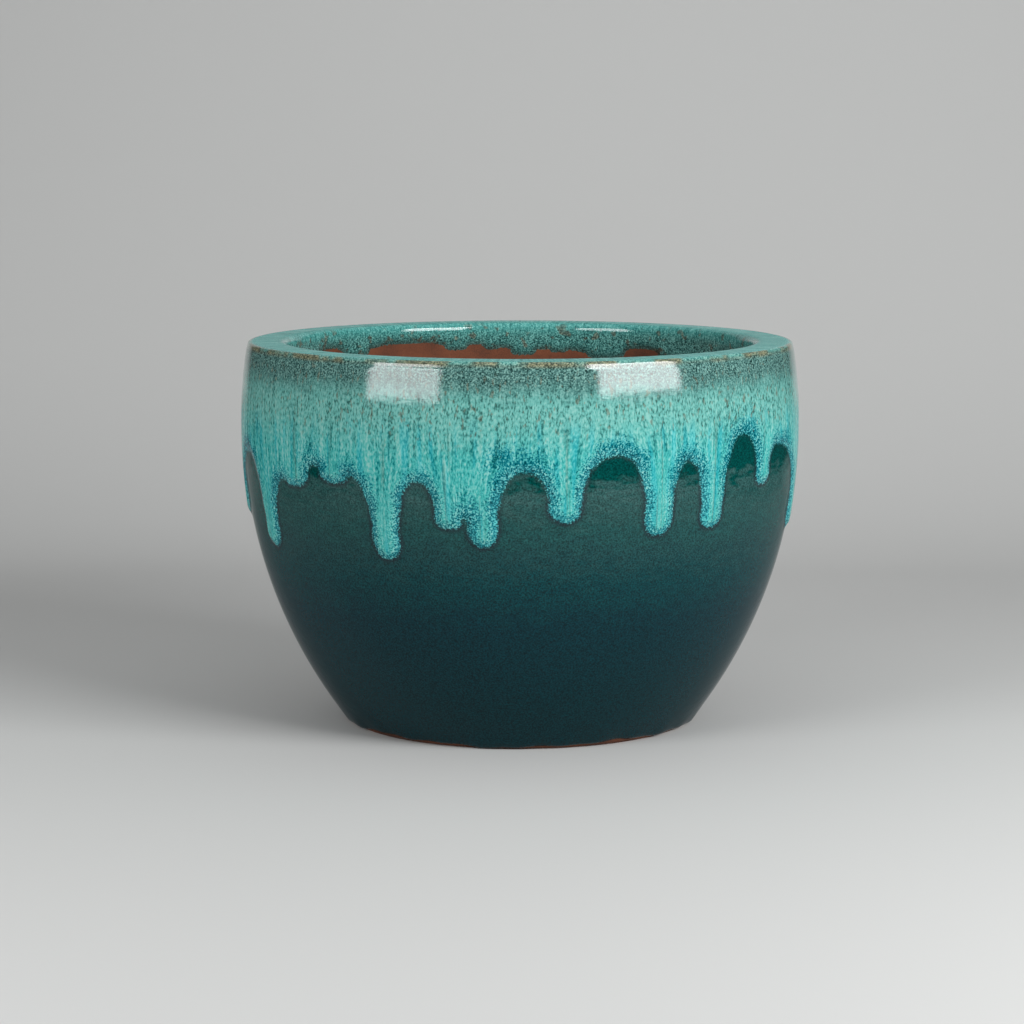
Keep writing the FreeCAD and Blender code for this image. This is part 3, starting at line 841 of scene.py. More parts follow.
    def build(self) -> bpy.types.Material:
        """Makes the material.

        Returns:
            The material.
        """
        material, add, place = new_material("poured_turquoise_glaze")
        measures = self._measures(add, place)
        first, last = self.over_rim
        over = add(
            "ShaderNodeMapRange", {"Value": measures["fall"], "From Min": first, "From Max": last}
        ).outputs[0]
        tone = self._tone(add, measures, over)
        colour = None
        for veil in self.veils:
            specks = linear(veil.specks[0])
            if len(veil.specks) > 1:
                places = [i / (len(veil.specks) - 1) for i in range(len(veil.specks))]
                stops = tuple(zip(places, veil.specks))
                specks = add("ShaderNodeValToRGB", {"Fac": tone}, stops).outputs["Color"]
            if colour is None:
                colour = specks
                continue
            share = self._share(add, measures, veil.where)
            colour = add(
                "ShaderNodeMix", {"Factor": share, "A": colour, "B": specks}, data_type="RGBA"
            ).outputs[2]
        smooth, gritty = self.roughness
        normal = self._relief(add, place, measures)
        shader = add(
            "ShaderNodeBsdfPrincipled",
            {
                "Base Color": self._thinned(add, place, measures, colour),
                "Roughness": add("ShaderNodeMapRange", {"Value": tone, "To Min": gritty, "To Max": smooth}),
                "IOR": self.ior,
                "Normal": normal,
                "Coat Weight": add("ShaderNodeValToRGB", {"Fac": over}, self.gloss),
                "Coat Roughness": self.gloss_roughness,
                "Coat Normal": normal,
            },
        )
        add("ShaderNodeOutputMaterial", {"Surface": shader})
        return material

    def _measures(self, add: Add, place: Socket) -> dict[str, Socket]:
        """Adds what the layers go by: the coat's attributes, the grains, and sums of them.

        Args:
            add: Adds a node to the material.
            place: Object coordinates.

        Returns:
            Each measure by its name. uneven is the fall, made uneven. nearness grows from the edge inwards,
            slower where the blue has pooled. fray is the depth, broken up by specks. spine is the distance
            from the wavering middle of a run.
        """
        found = {
            name: add("ShaderNodeAttribute", attribute_name=name).outputs["Fac"]
            for name in ("fall", "depth", "pool", "aside")
        }
        flow = add("ShaderNodeAttribute", attribute_name="flow").outputs["Vector"]
        for grain in self.grains:
            laid = add(
                "ShaderNodeMapping",
                {"Vector": flow if grain.flows else place, "Scale": (1, 1, 1 / grain.stretch)},
            )
            found[grain.name] = add(
                "ShaderNodeTexNoise",
                {"Vector": laid, "Scale": 1 / (grain.width_mm * MM), "Detail": grain.detail},
            ).outputs[0]
        narrow, wide = self.blue_width
        found["width"] = add(
            "ShaderNodeMapRange",
            {"Value": found["pool"], "From Max": self.fullest_pool, "To Min": narrow, "To Max": wide},
        ).outputs[0]
        for name, operation, *terms in (
            ("shift", "MULTIPLY_ADD", "cloud", self.unevenness, -self.unevenness / 2),
            ("uneven", "ADD", "fall", "shift"),
            ("inward", "DIVIDE", "depth", "width"),
            ("clouded", "MULTIPLY_ADD", "cloud", self.blue_cloud, "inward"),
            ("moved", "SUBTRACT", "clouded", self.blue_start),
            ("nearness", "MULTIPLY_ADD", "speck", self.blue_speck, "moved"),
            ("fray", "MULTIPLY_ADD", "speck", self.fraying, "depth"),
            ("waver", "MULTIPLY_ADD", "stream", self.spine_waver, -self.spine_waver / 2),
            ("off_spine", "ADD", "aside", "waver"),
            ("spine", "ABSOLUTE", "off_spine"),
        ):
            sockets = {i: found.get(term, term) for i, term in enumerate(terms)}
            found[name] = add("ShaderNodeMath", sockets, operation=operation).outputs[0]
        return found

    def _tone(self, add: Add, measures: dict[str, Socket], over: Socket) -> Socket:
        """Adds the light and dark of the specks: round and soft at the edges, drawn out further down.

        Args:
            add: Adds a node to the material.
            measures: What the layers go by.
            over: The way over the rim, from 0 inside the lip to 1 down in the runs.

        Returns:
            The tone, from 0 in dark specks to 1 in pale ones.
        """
        tone = measures["speck"]
        for stops, grain in ((self.drawing, "drawn"), (self.running, "streak")):
            share = add("ShaderNodeValToRGB", {"Fac": over}, stops)
            tone = add("ShaderNodeMix", {"Factor": share, "A": tone, "B": measures[grain]}, data_type="FLOAT")
        darkest, palest = self.soft_specks
        soft = add("ShaderNodeMapRange", {"Value": measures["speck"], "To Min": darkest, "To Max": palest})
        whole = add(
            "ShaderNodeMix",
            {"Factor": self._share(add, measures, self.firm), "A": soft, "B": tone},
            data_type="FLOAT",
        )
        dark, pale = self.contrast
        return add("ShaderNodeMapRange", {"Value": whole, "From Min": dark, "From Max": pale}).outputs[0]

    def _share(self, add: Add, measures: dict[str, Socket], where: Where) -> Socket:
        """Adds how much of a layer shows, which is the product of its shares by each measure.

        Args:
            add: Adds a node to the material.
            measures: What the layers go by.
            where: Where the layer shows.

        Returns:
            The share.
        """
        share = None
        for name, *ends in where:
            sockets = dict(zip(("From Min", "From Max", "To Min", "To Max"), ends), Value=measures[name])
            step = add("ShaderNodeMapRange", sockets, interpolation_type="SMOOTHSTEP").outputs[0]
            if share is not None:
                step = add("ShaderNodeMath", {0: share, 1: step}, operation="MULTIPLY").outputs[0]
            share = step
        return share

    def _thinned(self, add: Add, place: Socket, measures: dict[str, Socket], colour: Socket) -> Socket:
        """Lets the coat break up at its outer edge, through a dark halo, into the glaze below it.

        Args:
            add: Adds a node to the material.
            place: Object coordinates.
            measures: What the layers go by.
            colour: The colour of the layers.

        Returns:
            The whole colour.
        """
        below = DarkGlaze()
        # The glaze below carries the dark glaze's painted reflection of the table in its grey band
        ground = below.colour(add, place, below.grain(add, place))
        dark = self._share(add, measures, self.halo.where)
        haloed = add(
            "ShaderNodeMix", {"Factor": dark, "A": ground, "B": linear(self.halo.specks[0])}, data_type="RGBA"
        )
        outside, inside = (
            self._share(add, measures, where) for where in (self.covers_outside, self.covers_inside)
        )
        cover = add("ShaderNodeMath", {0: outside, 1: inside}, operation="MAXIMUM")
        return add("ShaderNodeMix", {"Factor": cover, "A": haloed, "B": colour}, data_type="RGBA").outputs[2]

    def _relief(self, add: Add, place: Socket, measures: dict[str, Socket]) -> Socket:
        """Adds the grit of the specks, and the waves of the dark glaze where the coat thins out over it.

        Args:
            add: Adds a node to the material.
            place: Object coordinates.
            measures: What the layers go by.

        Returns:
            The normal.
        """
        wavy, gritty = (self._share(add, measures, where) for where in (self.wavy, self.gritty))
        waves = add("ShaderNodeMath", {0: DarkGlaze().surface(add, place), 1: wavy}, operation="MULTIPLY")
        grit = add("ShaderNodeMath", {0: measures["speck"], 1: gritty, 2: waves}, operation="MULTIPLY_ADD")
        bump = add("ShaderNodeBump", {"Height": grit, "Distance": self.grit_height})
        return bump.outputs["Normal"]


@dataclass(frozen=True)
class PlugRubber:
    """Moulded black rubber: matt, with a faint bloom and a fine mould texture."""

    tones: Stops = ((0.4, "1B1B1C"), (0.75, "333334"))
    roughness: float = 0.62
    ior: float = 1.52
    bloom_mm: float = 6.0
    grain_mm: float = 0.5  # coarser than a mould's own texture, so that it shows
    grain_strength: float = 0.2
    grain_height: float = 0.1 * MM

    def build(self) -> bpy.types.Material:
        """Makes the material.

        Returns:
            The material.
        """
        material, add, place = new_material("moulded_rubber")
        bloom, grain = (
            add("ShaderNodeTexNoise", {"Vector": place, "Scale": 1 / (size * MM), "Detail": detail})
            for size, detail in ((self.bloom_mm, 4.0), (self.grain_mm, 2.0))
        )
        bump = add(
            "ShaderNodeBump",
            {"Height": grain, "Strength": self.grain_strength, "Distance": self.grain_height},
        )
        shader = add(
            "ShaderNodeBsdfPrincipled",
            {
                "Base Color": add("ShaderNodeValToRGB", {"Fac": bloom}, self.tones),
                "Roughness": self.roughness,
                "IOR": self.ior,
                "Normal": bump,
            },
        )
        add("ShaderNodeOutputMaterial", {"Surface": shader})
        return material


@dataclass
class ClayPot:
    """The thrown clay: foot ring, wall, floor with its drain hole, and the thick rim."""

    form: PotForm
    columns: int = 256
    step: float = 3 * MM
    fine_step: float = 0.8 * MM
    ring_pitch: float = 7 * MM
    ring_depth: float = 0.22 * MM
    ring_fade: float = 10 * MM
    slow_share: float = 0.4
    slow_pitch: float = 2.7
    slow_turns: float = 3.0
    slow_start: float = 1.0

    def build(self) -> bpy.types.Object:
        """Throws the pot.

        Returns:
            The finished piece.
        """
        piece = turn_on_wheel("clay_body", self._profile(), self.columns)
        self._throwing_rings(piece)
        piece.data.materials.append(FiredClay().build())
        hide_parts("clay_pot")
        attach(piece, "pot")
        return piece

    def _profile(self) -> np.ndarray:
        """The closed profile, from the drain hole's lower edge round the outside and back down it."""
        form = self.form
        edge = form.foot_edge
        foot_inside = form.foot_radius - form.foot_width
        floor_top = form.foot_recess + form.floor_thick
        inner_arc = form.wall_arc - form.wall
        cove_height = floor_top + form.cove_radius
        cove_reach = inner_arc - form.cove_radius
        cove_out = math.sqrt(cove_reach**2 - (cove_height - form.belly_height) ** 2)
        cove_angle = math.atan2(cove_height - form.belly_height, cove_out)
        cove_centre = (form.wall_centre + cove_out, cove_height)
        inner_centre = (form.mouth_radius + form.rim_inner_round, form.height - form.rim_inner_round)
        lip_end = form.height - form.lip_depth
        taper_angle = form.wall_angle(lip_end - form.lip_taper, -form.wall)
        taper_end = form.wall_points(taper_angle, taper_angle, self.step, -form.wall)[0]
        foot_angle = form.wall_angle(edge)
        foot_start = form.wall_points(foot_angle, foot_angle, self.step)[0]
        return join_stretches(
            [
                line_points((form.drain_radius, form.foot_recess), (foot_inside, form.foot_recess), self.step),
                line_points((foot_inside, form.foot_recess), (foot_inside, edge), self.fine_step),
                arc_points((foot_inside + edge, edge), edge, math.pi, 1.5 * math.pi, self.fine_step / 3),
                line_points((foot_inside + edge, 0.0), (form.foot_radius - edge, 0.0), self.step),
                line_points((form.foot_radius - edge, 0.0), tuple(foot_start), self.fine_step / 2),
                form.wall_points(foot_angle, form.rim_angle, self.step),
                arc_points(form.rim_centre, form.rim_outer_round, form.rim_angle, math.pi / 2, self.fine_step),
                line_points((form.rim_centre[0], form.height), (inner_centre[0], form.height), self.step),
                arc_points(inner_centre, form.rim_inner_round, math.pi / 2, math.pi, self.fine_step),
                line_points(
                    (form.mouth_radius, inner_centre[1]), (form.mouth_radius, lip_end), self.fine_step * 2
                ),
                line_points((form.mouth_radius, lip_end), tuple(taper_end), self.fine_step * 2),
                form.wall_points(taper_angle, cove_angle, self.fine_step * 2, -form.wall),
                arc_points(cove_centre, form.cove_radius, cove_angle, -math.pi / 2, self.fine_step * 2),
                line_points((cove_centre[0], floor_top), (form.drain_radius, floor_top), self.fine_step * 2),
                line_points((form.drain_radius, floor_top), (form.drain_radius, form.foot_recess), self.step),
            ]
        )[:-1]

    def _throwing_rings(self, piece: bpy.types.Object) -> None:
        """Presses the thrower's finger grooves into the inside, as one slow spiral.

        Args:
            piece: The clay.
        """
        form = self.form
        places = vertex_places(piece)
        radius = np.hypot(places[:, 0], places[:, 1])
        angle = np.arctan2(places[:, 1], places[:, 0])
        height = places[:, 2]
        reach = form.wall_arc - form.wall / 2
        middle = form.wall_centre + np.sqrt(reach**2 - (height - form.belly_height) ** 2)
        low, high = form.foot_recess + form.floor_thick + form.cove_radius, form.height - form.lip_depth
        inside = (radius < middle) & (height > low) & (height < high)
        from_low, from_high = (np.clip(gap / self.ring_fade, 0, 1) for gap in (height - low, high - height))
        wave = np.sin(2 * math.pi * height / self.ring_pitch + angle)
        slow = 2 * math.pi * height / (self.ring_pitch * self.slow_pitch)
        wave += self.slow_share * np.sin(slow + self.slow_turns * angle + self.slow_start)
        push = np.where(inside, self.ring_depth * wave * (from_low * from_high), 0.0)
        places[:, :2] *= (1 + push / np.maximum(radius, form.drain_radius))[:, None]
        piece.data.vertices.foreach_set("co", places.ravel())
        piece.data.update()


@dataclass
class DarkCoat:
    """The first coat of glaze: an even skin on the wall with an uneven hem just above the foot."""

    form: PotForm
    columns: int = 480
    step: float = 2.5 * MM
    hem_round: float = 0.6
    hem_waver: float = 0.5 * MM
    hem_reach: float = 8 * MM
    hem_waves: Waves = ((5, 0.6, 1.0), (13, 2.0, 0.7), (29, 0.0, 0.5))
    seat_steps: float = 4.0

    def build(self) -> bpy.types.Object:
        """Lays the coat on the wall.

        Returns:
            The finished piece.
        """
        piece = turn_on_wheel("dark_glaze_coat", self._profile(), self.columns)
        self._waver_hem(piece)
        piece.data.materials.append(DarkGlaze().build())
        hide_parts("dark_glaze")
        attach(piece, "pot")
        return piece

    def _profile(self) -> np.ndarray:
        """The closed profile: up the skin and down the seat, with a rounded hem."""
        form = self.form
        coat, low = form.dark_coat, form.bare_foot
        hem = form.wall_angle(low)
        return join_stretches(
            [
                form.wall_points(hem, hem, self.step, coat * self.hem_round),
                form.wall_points(form.wall_angle(low + coat / 2, coat), form.rim_angle, self.step, coat),
                form.wall_points(form.rim_angle, hem, self.seat_steps * self.step),
            ]
        )

    def _waver_hem(self, piece: bpy.types.Object) -> None:
        """Lets the hem above the foot rise and fall a little, as a wiped edge does.

        Args:
            piece: The coat.
        """
        places = vertex_places(piece)
        angle = np.arctan2(places[:, 1], places[:, 0])
        near_hem = np.clip(1 - (places[:, 2] - self.form.bare_foot) / self.hem_reach, 0, 1)
        places[:, 2] += self.hem_waver * add_waves(angle, self.hem_waves) * near_hem
        piece.data.vertices.foreach_set("co", places.ravel())
        piece.data.update()


@dataclass(frozen=True)
class RimLine:
    """The line over the rim that the poured coat covers, point by point.

    path is the distance along it from the rim's outer crest, outwards positive. seat is its place on the clay
    as radius and height, and normal its outward normal. lift is how far the dark coat already lifts it off the
    clay. extra is how much more than its own thickness the coat has: less where it drew thin below the crest,
    more in the rim's corners.
    """

    path: np.ndarray
    seat: np.ndarray
    normal: np.ndarray
    lift: np.ndarray
    extra: np.ndarray


@dataclass
class PouredCoat:
    """The second coat: over the rim, in scallops inside the lip and in long runs outside.

    Past its coloured edge the coat goes on as a clear skirt, thinning out over the dark coat below it.
    """

    form: PotForm
    outer_edge: PouredEdge
    inner_edge: PouredEdge
    columns: int = 600
    fine_step: float = 1.5 * MM
    step: float = 1.8 * MM
    round_step_share: float = 0.4
    crest_step_share: float = 0.2
    crest_fine: float = 3 * MM
    arch_fine: float = 10 * MM
    bead: float = 4 * MM
    skirt_outside: float = 3.6 * MM
    skirt_inside: float = 0.6 * MM
    crest_thinning: float = 0.48 * MM
    crest_places_mm: tuple[float, ...] = (0.6, 1.9, 3.0, 4.5)
    crest_shares: tuple[float, ...] = (0.0, 1.0, 0.45, 0.0)
    crest_square: float = 12.0
    lip_square: float = 5.0
    flow_reach: float = 30 * MM
    snap: float = 0.3
    parting: float = 0.1 * MM
    lift_rounds: float = 3.0
    sharp_angle: float = math.radians(60)

    def build(self) -> bpy.types.Object:
        """Pours the coat.

        The mesh is a grid over the rim that is cut along the runs, which no modelling operator draws.

        Returns:
            The finished piece.
        """
        rim = self._rim_line()
        angle = np.linspace(-math.pi, math.pi, self.columns, endpoint=False)
        corners = np.tile(angle, len(rim.path)), np.repeat(rim.path, self.columns)
        piece = self._raise(*self._cut(*self._measured(*corners, rim)), rim)
        piece.data.materials.append(PouredGlaze().build())
        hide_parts("run_glaze")
        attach(piece, "pot")
        return piece

    def _rim_line(self) -> RimLine:
        """Draws the line over the rim, from inside the lip to below the longest run.

        Returns:
            The line.
        """
        form = self.form
        inner_centre = (form.mouth_radius + form.rim_inner_round, form.height - form.rim_inner_round)
        run_low = form.wall_angle(form.belly_height - form.run_drop - 2 * self.fine_step)
        fine_high = form.wall_angle(form.belly_height + self.arch_fine)
        below_crest = form.rim_angle - self.crest_fine / form.wall_arc
        lip_low = form.height - form.lip_drop
        round_step = self.step * self.round_step_share
        crest_step = self.step * self.crest_step_share
        inside = join_stretches(
            [
                line_points((form.mouth_radius, lip_low), (form.mouth_radius, inner_centre[1]), self.fine_step),
                arc_points(inner_centre, form.rim_inner_round, math.pi, math.pi / 2, round_step),
                line_points((inner_centre[0], form.height), (form.rim_centre[0], form.height), self.step),
            ]
        )
        outside = join_stretches(
            [
                arc_points(form.rim_centre, form.rim_outer_round, math.pi / 2, form.rim_angle, crest_step),
                form.wall_points(form.rim_angle, below_crest, round_step),
                form.wall_points(below_crest, fine_high, self.step),
                form.wall_points(fine_high, run_low, self.fine_step),
            ]
        )
        line = join_stretches([inside, outside])
        path = np.r_[0.0, np.cumsum(np.linalg.norm(np.diff(line, axis=0), axis=1))]
        path -= path[len(inside) - 1]
        along = np.gradient(line, path, axis=0)
        along /= np.linalg.norm(along, axis=1)[:, None]
        normal = np.column_stack([-along[:, 1], along[:, 0]])
        lift = form.dark_coat * np.clip(path / (self.lift_rounds * form.rim_outer_round), 0.0, 1.0)
        crest = np.interp(path, np.array(self.crest_places_mm) * MM, self.crest_shares)
        extra = self._corners(path, normal) - self.crest_thinning * crest
        return RimLine(path, line, normal, lift, extra)

    def _corners(self, path: np.ndarray, normal: np.ndarray) -> np.ndarray:
        """How much fuller the coat is in the rim's two corners, which it squares off.

        Args:
            path: Distance of each point from the rim's outer crest.
            normal: Outward normal of each point.

        Returns:
            The extra thickness at each point.
        """
        form = self.form
        within = path < 0
        power = np.where(within, self.lip_square, self.crest_square)
        reach = np.where(within, form.rim_inner_round, form.rim_outer_round) + form.coats
        wall_way = (math.cos(form.rim_angle), math.sin(form.rim_angle))
        aside = np.where(within, -normal[:, 0], normal @ wall_way)
        squared = (np.clip(aside, 0, 1) ** power + np.clip(normal[:, 1], 0, 1) ** power) ** (-1 / power)
        crest_end = form.rim_outer_round * (math.pi / 2 - form.rim_angle)
        return np.where(path < crest_end, reach * (squared - 1), 0.0)

    def _skirt(self, path_at: np.ndarray) -> np.ndarray:
        """How far the coat reaches past its coloured edge, outside and inside the rim."""
        return np.where(path_at > 0, self.skirt_outside, self.skirt_inside)

    def _measured(
        self, angle: np.ndarray, path_at: np.ndarray, rim: RimLine
    ) -> tuple[np.ndarray, np.ndarray, np.ndarray]:
        """Measures each grid corner's depth inside the coat, and moves those nearest its end onto it.

        Args:
            angle: Angle of each corner.
            path_at: Distance over the rim of each corner.
            rim: The line over the rim.

        Returns:
            Angles, distances over the rim, and depths inside the skirt's end, negative past it.
        """
        angle, path_at = angle.copy(), path_at.copy()
        height = np.interp(path_at, rim.path, rim.seat[:, 1])
        depth = np.full(len(angle), 1.0)
        skirt = self._skirt(path_at)
        for side, edge in ((Side.OUTSIDE, self.outer_edge), (Side.INSIDE, self.inner_edge)):
            chosen = np.flatnonzero(path_at * side.value > 0)
            distance, nearest = edge.measure(angle[chosen], height[chosen])
            depth[chosen] = distance + skirt[chosen]
            close = (np.abs(depth[chosen]) < self.snap * self.fine_step) & (distance < 0)
            moved = chosen[close]
            from_edge = np.column_stack([angle[moved] * edge.radius, height[moved]]) - nearest[close, :2]
            from_edge *= (skirt[moved] / np.linalg.norm(from_edge, axis=1))[:, None]
            ends = nearest[close, :2] + from_edge
            on_side = rim.path * side.value > 0
            order = np.argsort(rim.seat[on_side, 1])
            levels, distances = rim.seat[on_side, 1][order], rim.path[on_side][order]
            angle[moved] = ends[:, 0] / edge.radius
            path_at[moved] = np.interp(ends[:, 1], levels, distances)
            depth[moved] = 0.0
        return angle, path_at, depth

    def _cut(
        self, angle: np.ndarray, path_at: np.ndarray, depth: np.ndarray
    ) -> tuple[list[list[int]], np.ndarray, np.ndarray, np.ndarray]:
        """Cuts the grid along the skirt's end, where the depth is zero.

        Args:
            angle: Angle of each corner, row by row over the rim.
            path_at: Distance over the rim of each corner.
            depth: Depth of each corner inside the coat.

        Returns:
            The faces, and angle, distance over the rim and depth of each point that is kept.
        """
        columns = self.columns
        points: dict[tuple[int, int], int] = {}
        values: list[tuple[float, float, float]] = []

        def corner(index: int) -> int:
            """Keeps a corner of the grid."""
            key = (index, index)
            if key not in points:
                points[key] = len(values)
                values.append((angle[index], path_at[index], depth[index]))
            return points[key]

        def crossing(first: int, second: int) -> int:
            """Keeps the point where the cut crosses a side of the grid."""
            key = (min(first, second), max(first, second))
            if key not in points:
                points[key] = len(values)
                share = depth[first] / (depth[first] - depth[second])
                turn = (angle[second] - angle[first] + math.pi) % (2 * math.pi) - math.pi
                along = path_at[first] + share * (path_at[second] - path_at[first])
                values.append((angle[first] + share * turn, along, 0.0))
            return points[key]

        faces = []
        for row in range(len(depth) // columns - 1):
            for column in range(columns):
                following = (column + 1) % columns
                ring = [row * columns + column, row * columns + following]
                ring += [(row + 1) * columns + following, (row + 1) * columns + column]
                if max(depth[ring]) <= 0:
                    continue
                face = []
                for first, second in zip(ring, ring[1:] + ring[:1]):
                    if depth[first] >= 0:
                        face.append(corner(first))
                    if depth[first] * depth[second] < 0:
                        face.append(crossing(first, second))
                if len(face) > 2:
                    faces.append(face)
        faces = self._unpinched(faces, values)
        angles, paths, depths = (np.array(column) for column in zip(*values))
        return faces, angles, paths, depths

    def _unpinched(self, faces: list[list[int]], values: list[tuple[float, float, float]]) -> list[list[int]]:
        """Gives a middle point to each side that two faces share along the skirt's end.

        Without it the skin and its underside would meet in that side.

        Args:
            faces: Faces of the cut sheet.
            values: Angle, distance over the rim and depth of each point. The new points are added.

        Returns:
            The faces with the new points in them.
        """
        uses: dict[frozenset, int] = {}
        for face in faces:
            for side in map(frozenset, zip(face, face[1:] + face[:1])):
                if all(values[point][2] <= 0 for point in side):
                    uses[side] = uses.get(side, 0) + 1
        middles = {}
        for side in (side for side, count in uses.items() if count > 1):
            (angle, along, _), (other_angle, other_along, _) = (values[point] for point in sorted(side))
            middles[side] = len(values)
            values.append(((angle + other_angle) / 2, (along + other_along) / 2, self.parting))
        parted = []
        for face in faces:
            sides = zip(face, face[1:] + face[:1])
            ring = (p for side in sides for p in (side[0], middles.get(frozenset(side))))
            parted.append([p for p in ring if p is not None])
        return parted

    def _raise(
        self, faces: list[list[int]], angle: np.ndarray, path_at: np.ndarray, depth: np.ndarray, rim: RimLine
    ) -> bpy.types.Object:
        """Gives the cut sheet its thickness, swelling from the skirt's end, and closes it underneath.

        Args:
            faces: Faces of the sheet.
            angle: Angle of each point.
            path_at: Distance over the rim of each point.
            depth: Depth of each point inside the skirt's end.
            rim: The line over the rim.

        Returns:
            The coat as a closed mesh.
        """
        form = self.form
        radius, height, out, up, base, more = (
            np.interp(path_at, rim.path, column)
            for column in (*rim.seat.T, *rim.normal.T, rim.lift, rim.extra)
        )
        low = np.clip((form.belly_height - height) / form.run_drop, 0.0, 1.0)
        full = form.coats - base + more + form.run_swell * low**2 * (path_at > 0)
        inward = np.clip(depth / (self._skirt(path_at) + self.bead), 0.0, 1.0)
        thick = full * (inward**2 * (3 - 2 * inward)) ** 2

        def placed(offset: np.ndarray) -> np.ndarray:
            """Places the points off the clay."""
            reach = radius + out * offset
            return np.column_stack([reach * np.sin(angle), -reach * np.cos(angle), height + up * offset])

        skin, under = placed(base + thick), placed(base)
        on_end = depth <= 0
        twin = np.where(on_end, np.arange(len(depth)), len(depth) + np.cumsum(~on_end) - 1)
        places = np.vstack([skin, under[~on_end]])
        shell = faces + [[int(twin[i]) for i in reversed(face)] for face in faces]
        mesh = bpy.data.meshes.new("poured_glaze_coat")
        mesh.from_pydata(places.tolist(), [], shell)
        mesh.validate()
        piece = bpy.data.objects.new("poured_glaze_coat", mesh)
        bpy.context.collection.objects.link(piece)
        bpy.ops.object.select_all(action="DESELECT")
        bpy.context.view_layer.objects.active = piece
        piece.select_set(True)
        bpy.ops.object.mode_set(mode="EDIT")
        bpy.ops.mesh.select_all(action="SELECT")
        bpy.ops.mesh.normals_make_consistent(inside=False)
        bpy.ops.object.mode_set(mode="OBJECT")
        bpy.ops.object.shade_smooth_by_angle(angle=self.sharp_angle)
        for name, value in self._flow_facts(angle, path_at, height, depth).items():
            set_attribute(piece, name, np.concatenate([value, value[~on_end]]))
        return piece

    def _flow_facts(
        self, angle: np.ndarray, path_at: np.ndarray, height: np.ndarray, depth: np.ndarray
    ) -> dict[str, np.ndarray]:
        """What the glaze's material has to know of each point.

        Args:
            angle: Angle of each point.
            path_at: Distance over the rim of each point.
            height: Height of each point.
            depth: Depth of each point inside the skirt's end.

        Returns:
            depth inside the coloured edge, fall from the rim's outer crest, pool of the nearest edge, distance
            aside from the middle of a run, and flow, whose first two parts stay the same along a streak.
        """
        outside = path_at > 0
        pool = np.zeros(len(angle))
        pool[outside] = self.outer_edge.measure(angle[outside], height[outside])[1][:, 2]
        start = angle.copy()
        start[outside] = self.outer_edge.parted(angle[outside], height[outside], self.flow_reach)
        reach = self.form.belly_radius
        flow = np.column_stack([reach * np.sin(start), -reach * np.cos(start), path_at])
        aside = self.outer_edge.aside(angle)
        inside_edge = depth - self._skirt(path_at)
        return {"depth": inside_edge, "fall": path_at, "pool": pool, "aside": aside, "flow": flow}


def dress_plug() -> bpy.types.Object:
    """Gives the CAD plug its rubber.

    Returns:
        The plug's node.
    """
    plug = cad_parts["drain_plug"]
    plug.data.materials.clear()
    plug.data.materials.append(PlugRubber().build())
    return plug


@dataclass(frozen=True)
class SoftBox:
    """A soft box, or the brighter strip near its top, with angles in degrees and sizes in metres.

    The azimuth counts from the front towards +X, low is the height of the lower edge, and the radiance is that
    of the lit face.
    """

    name: str
    azimuth: float
    width: float
    low: float
    tall: float
    roll: float
    radiance: float


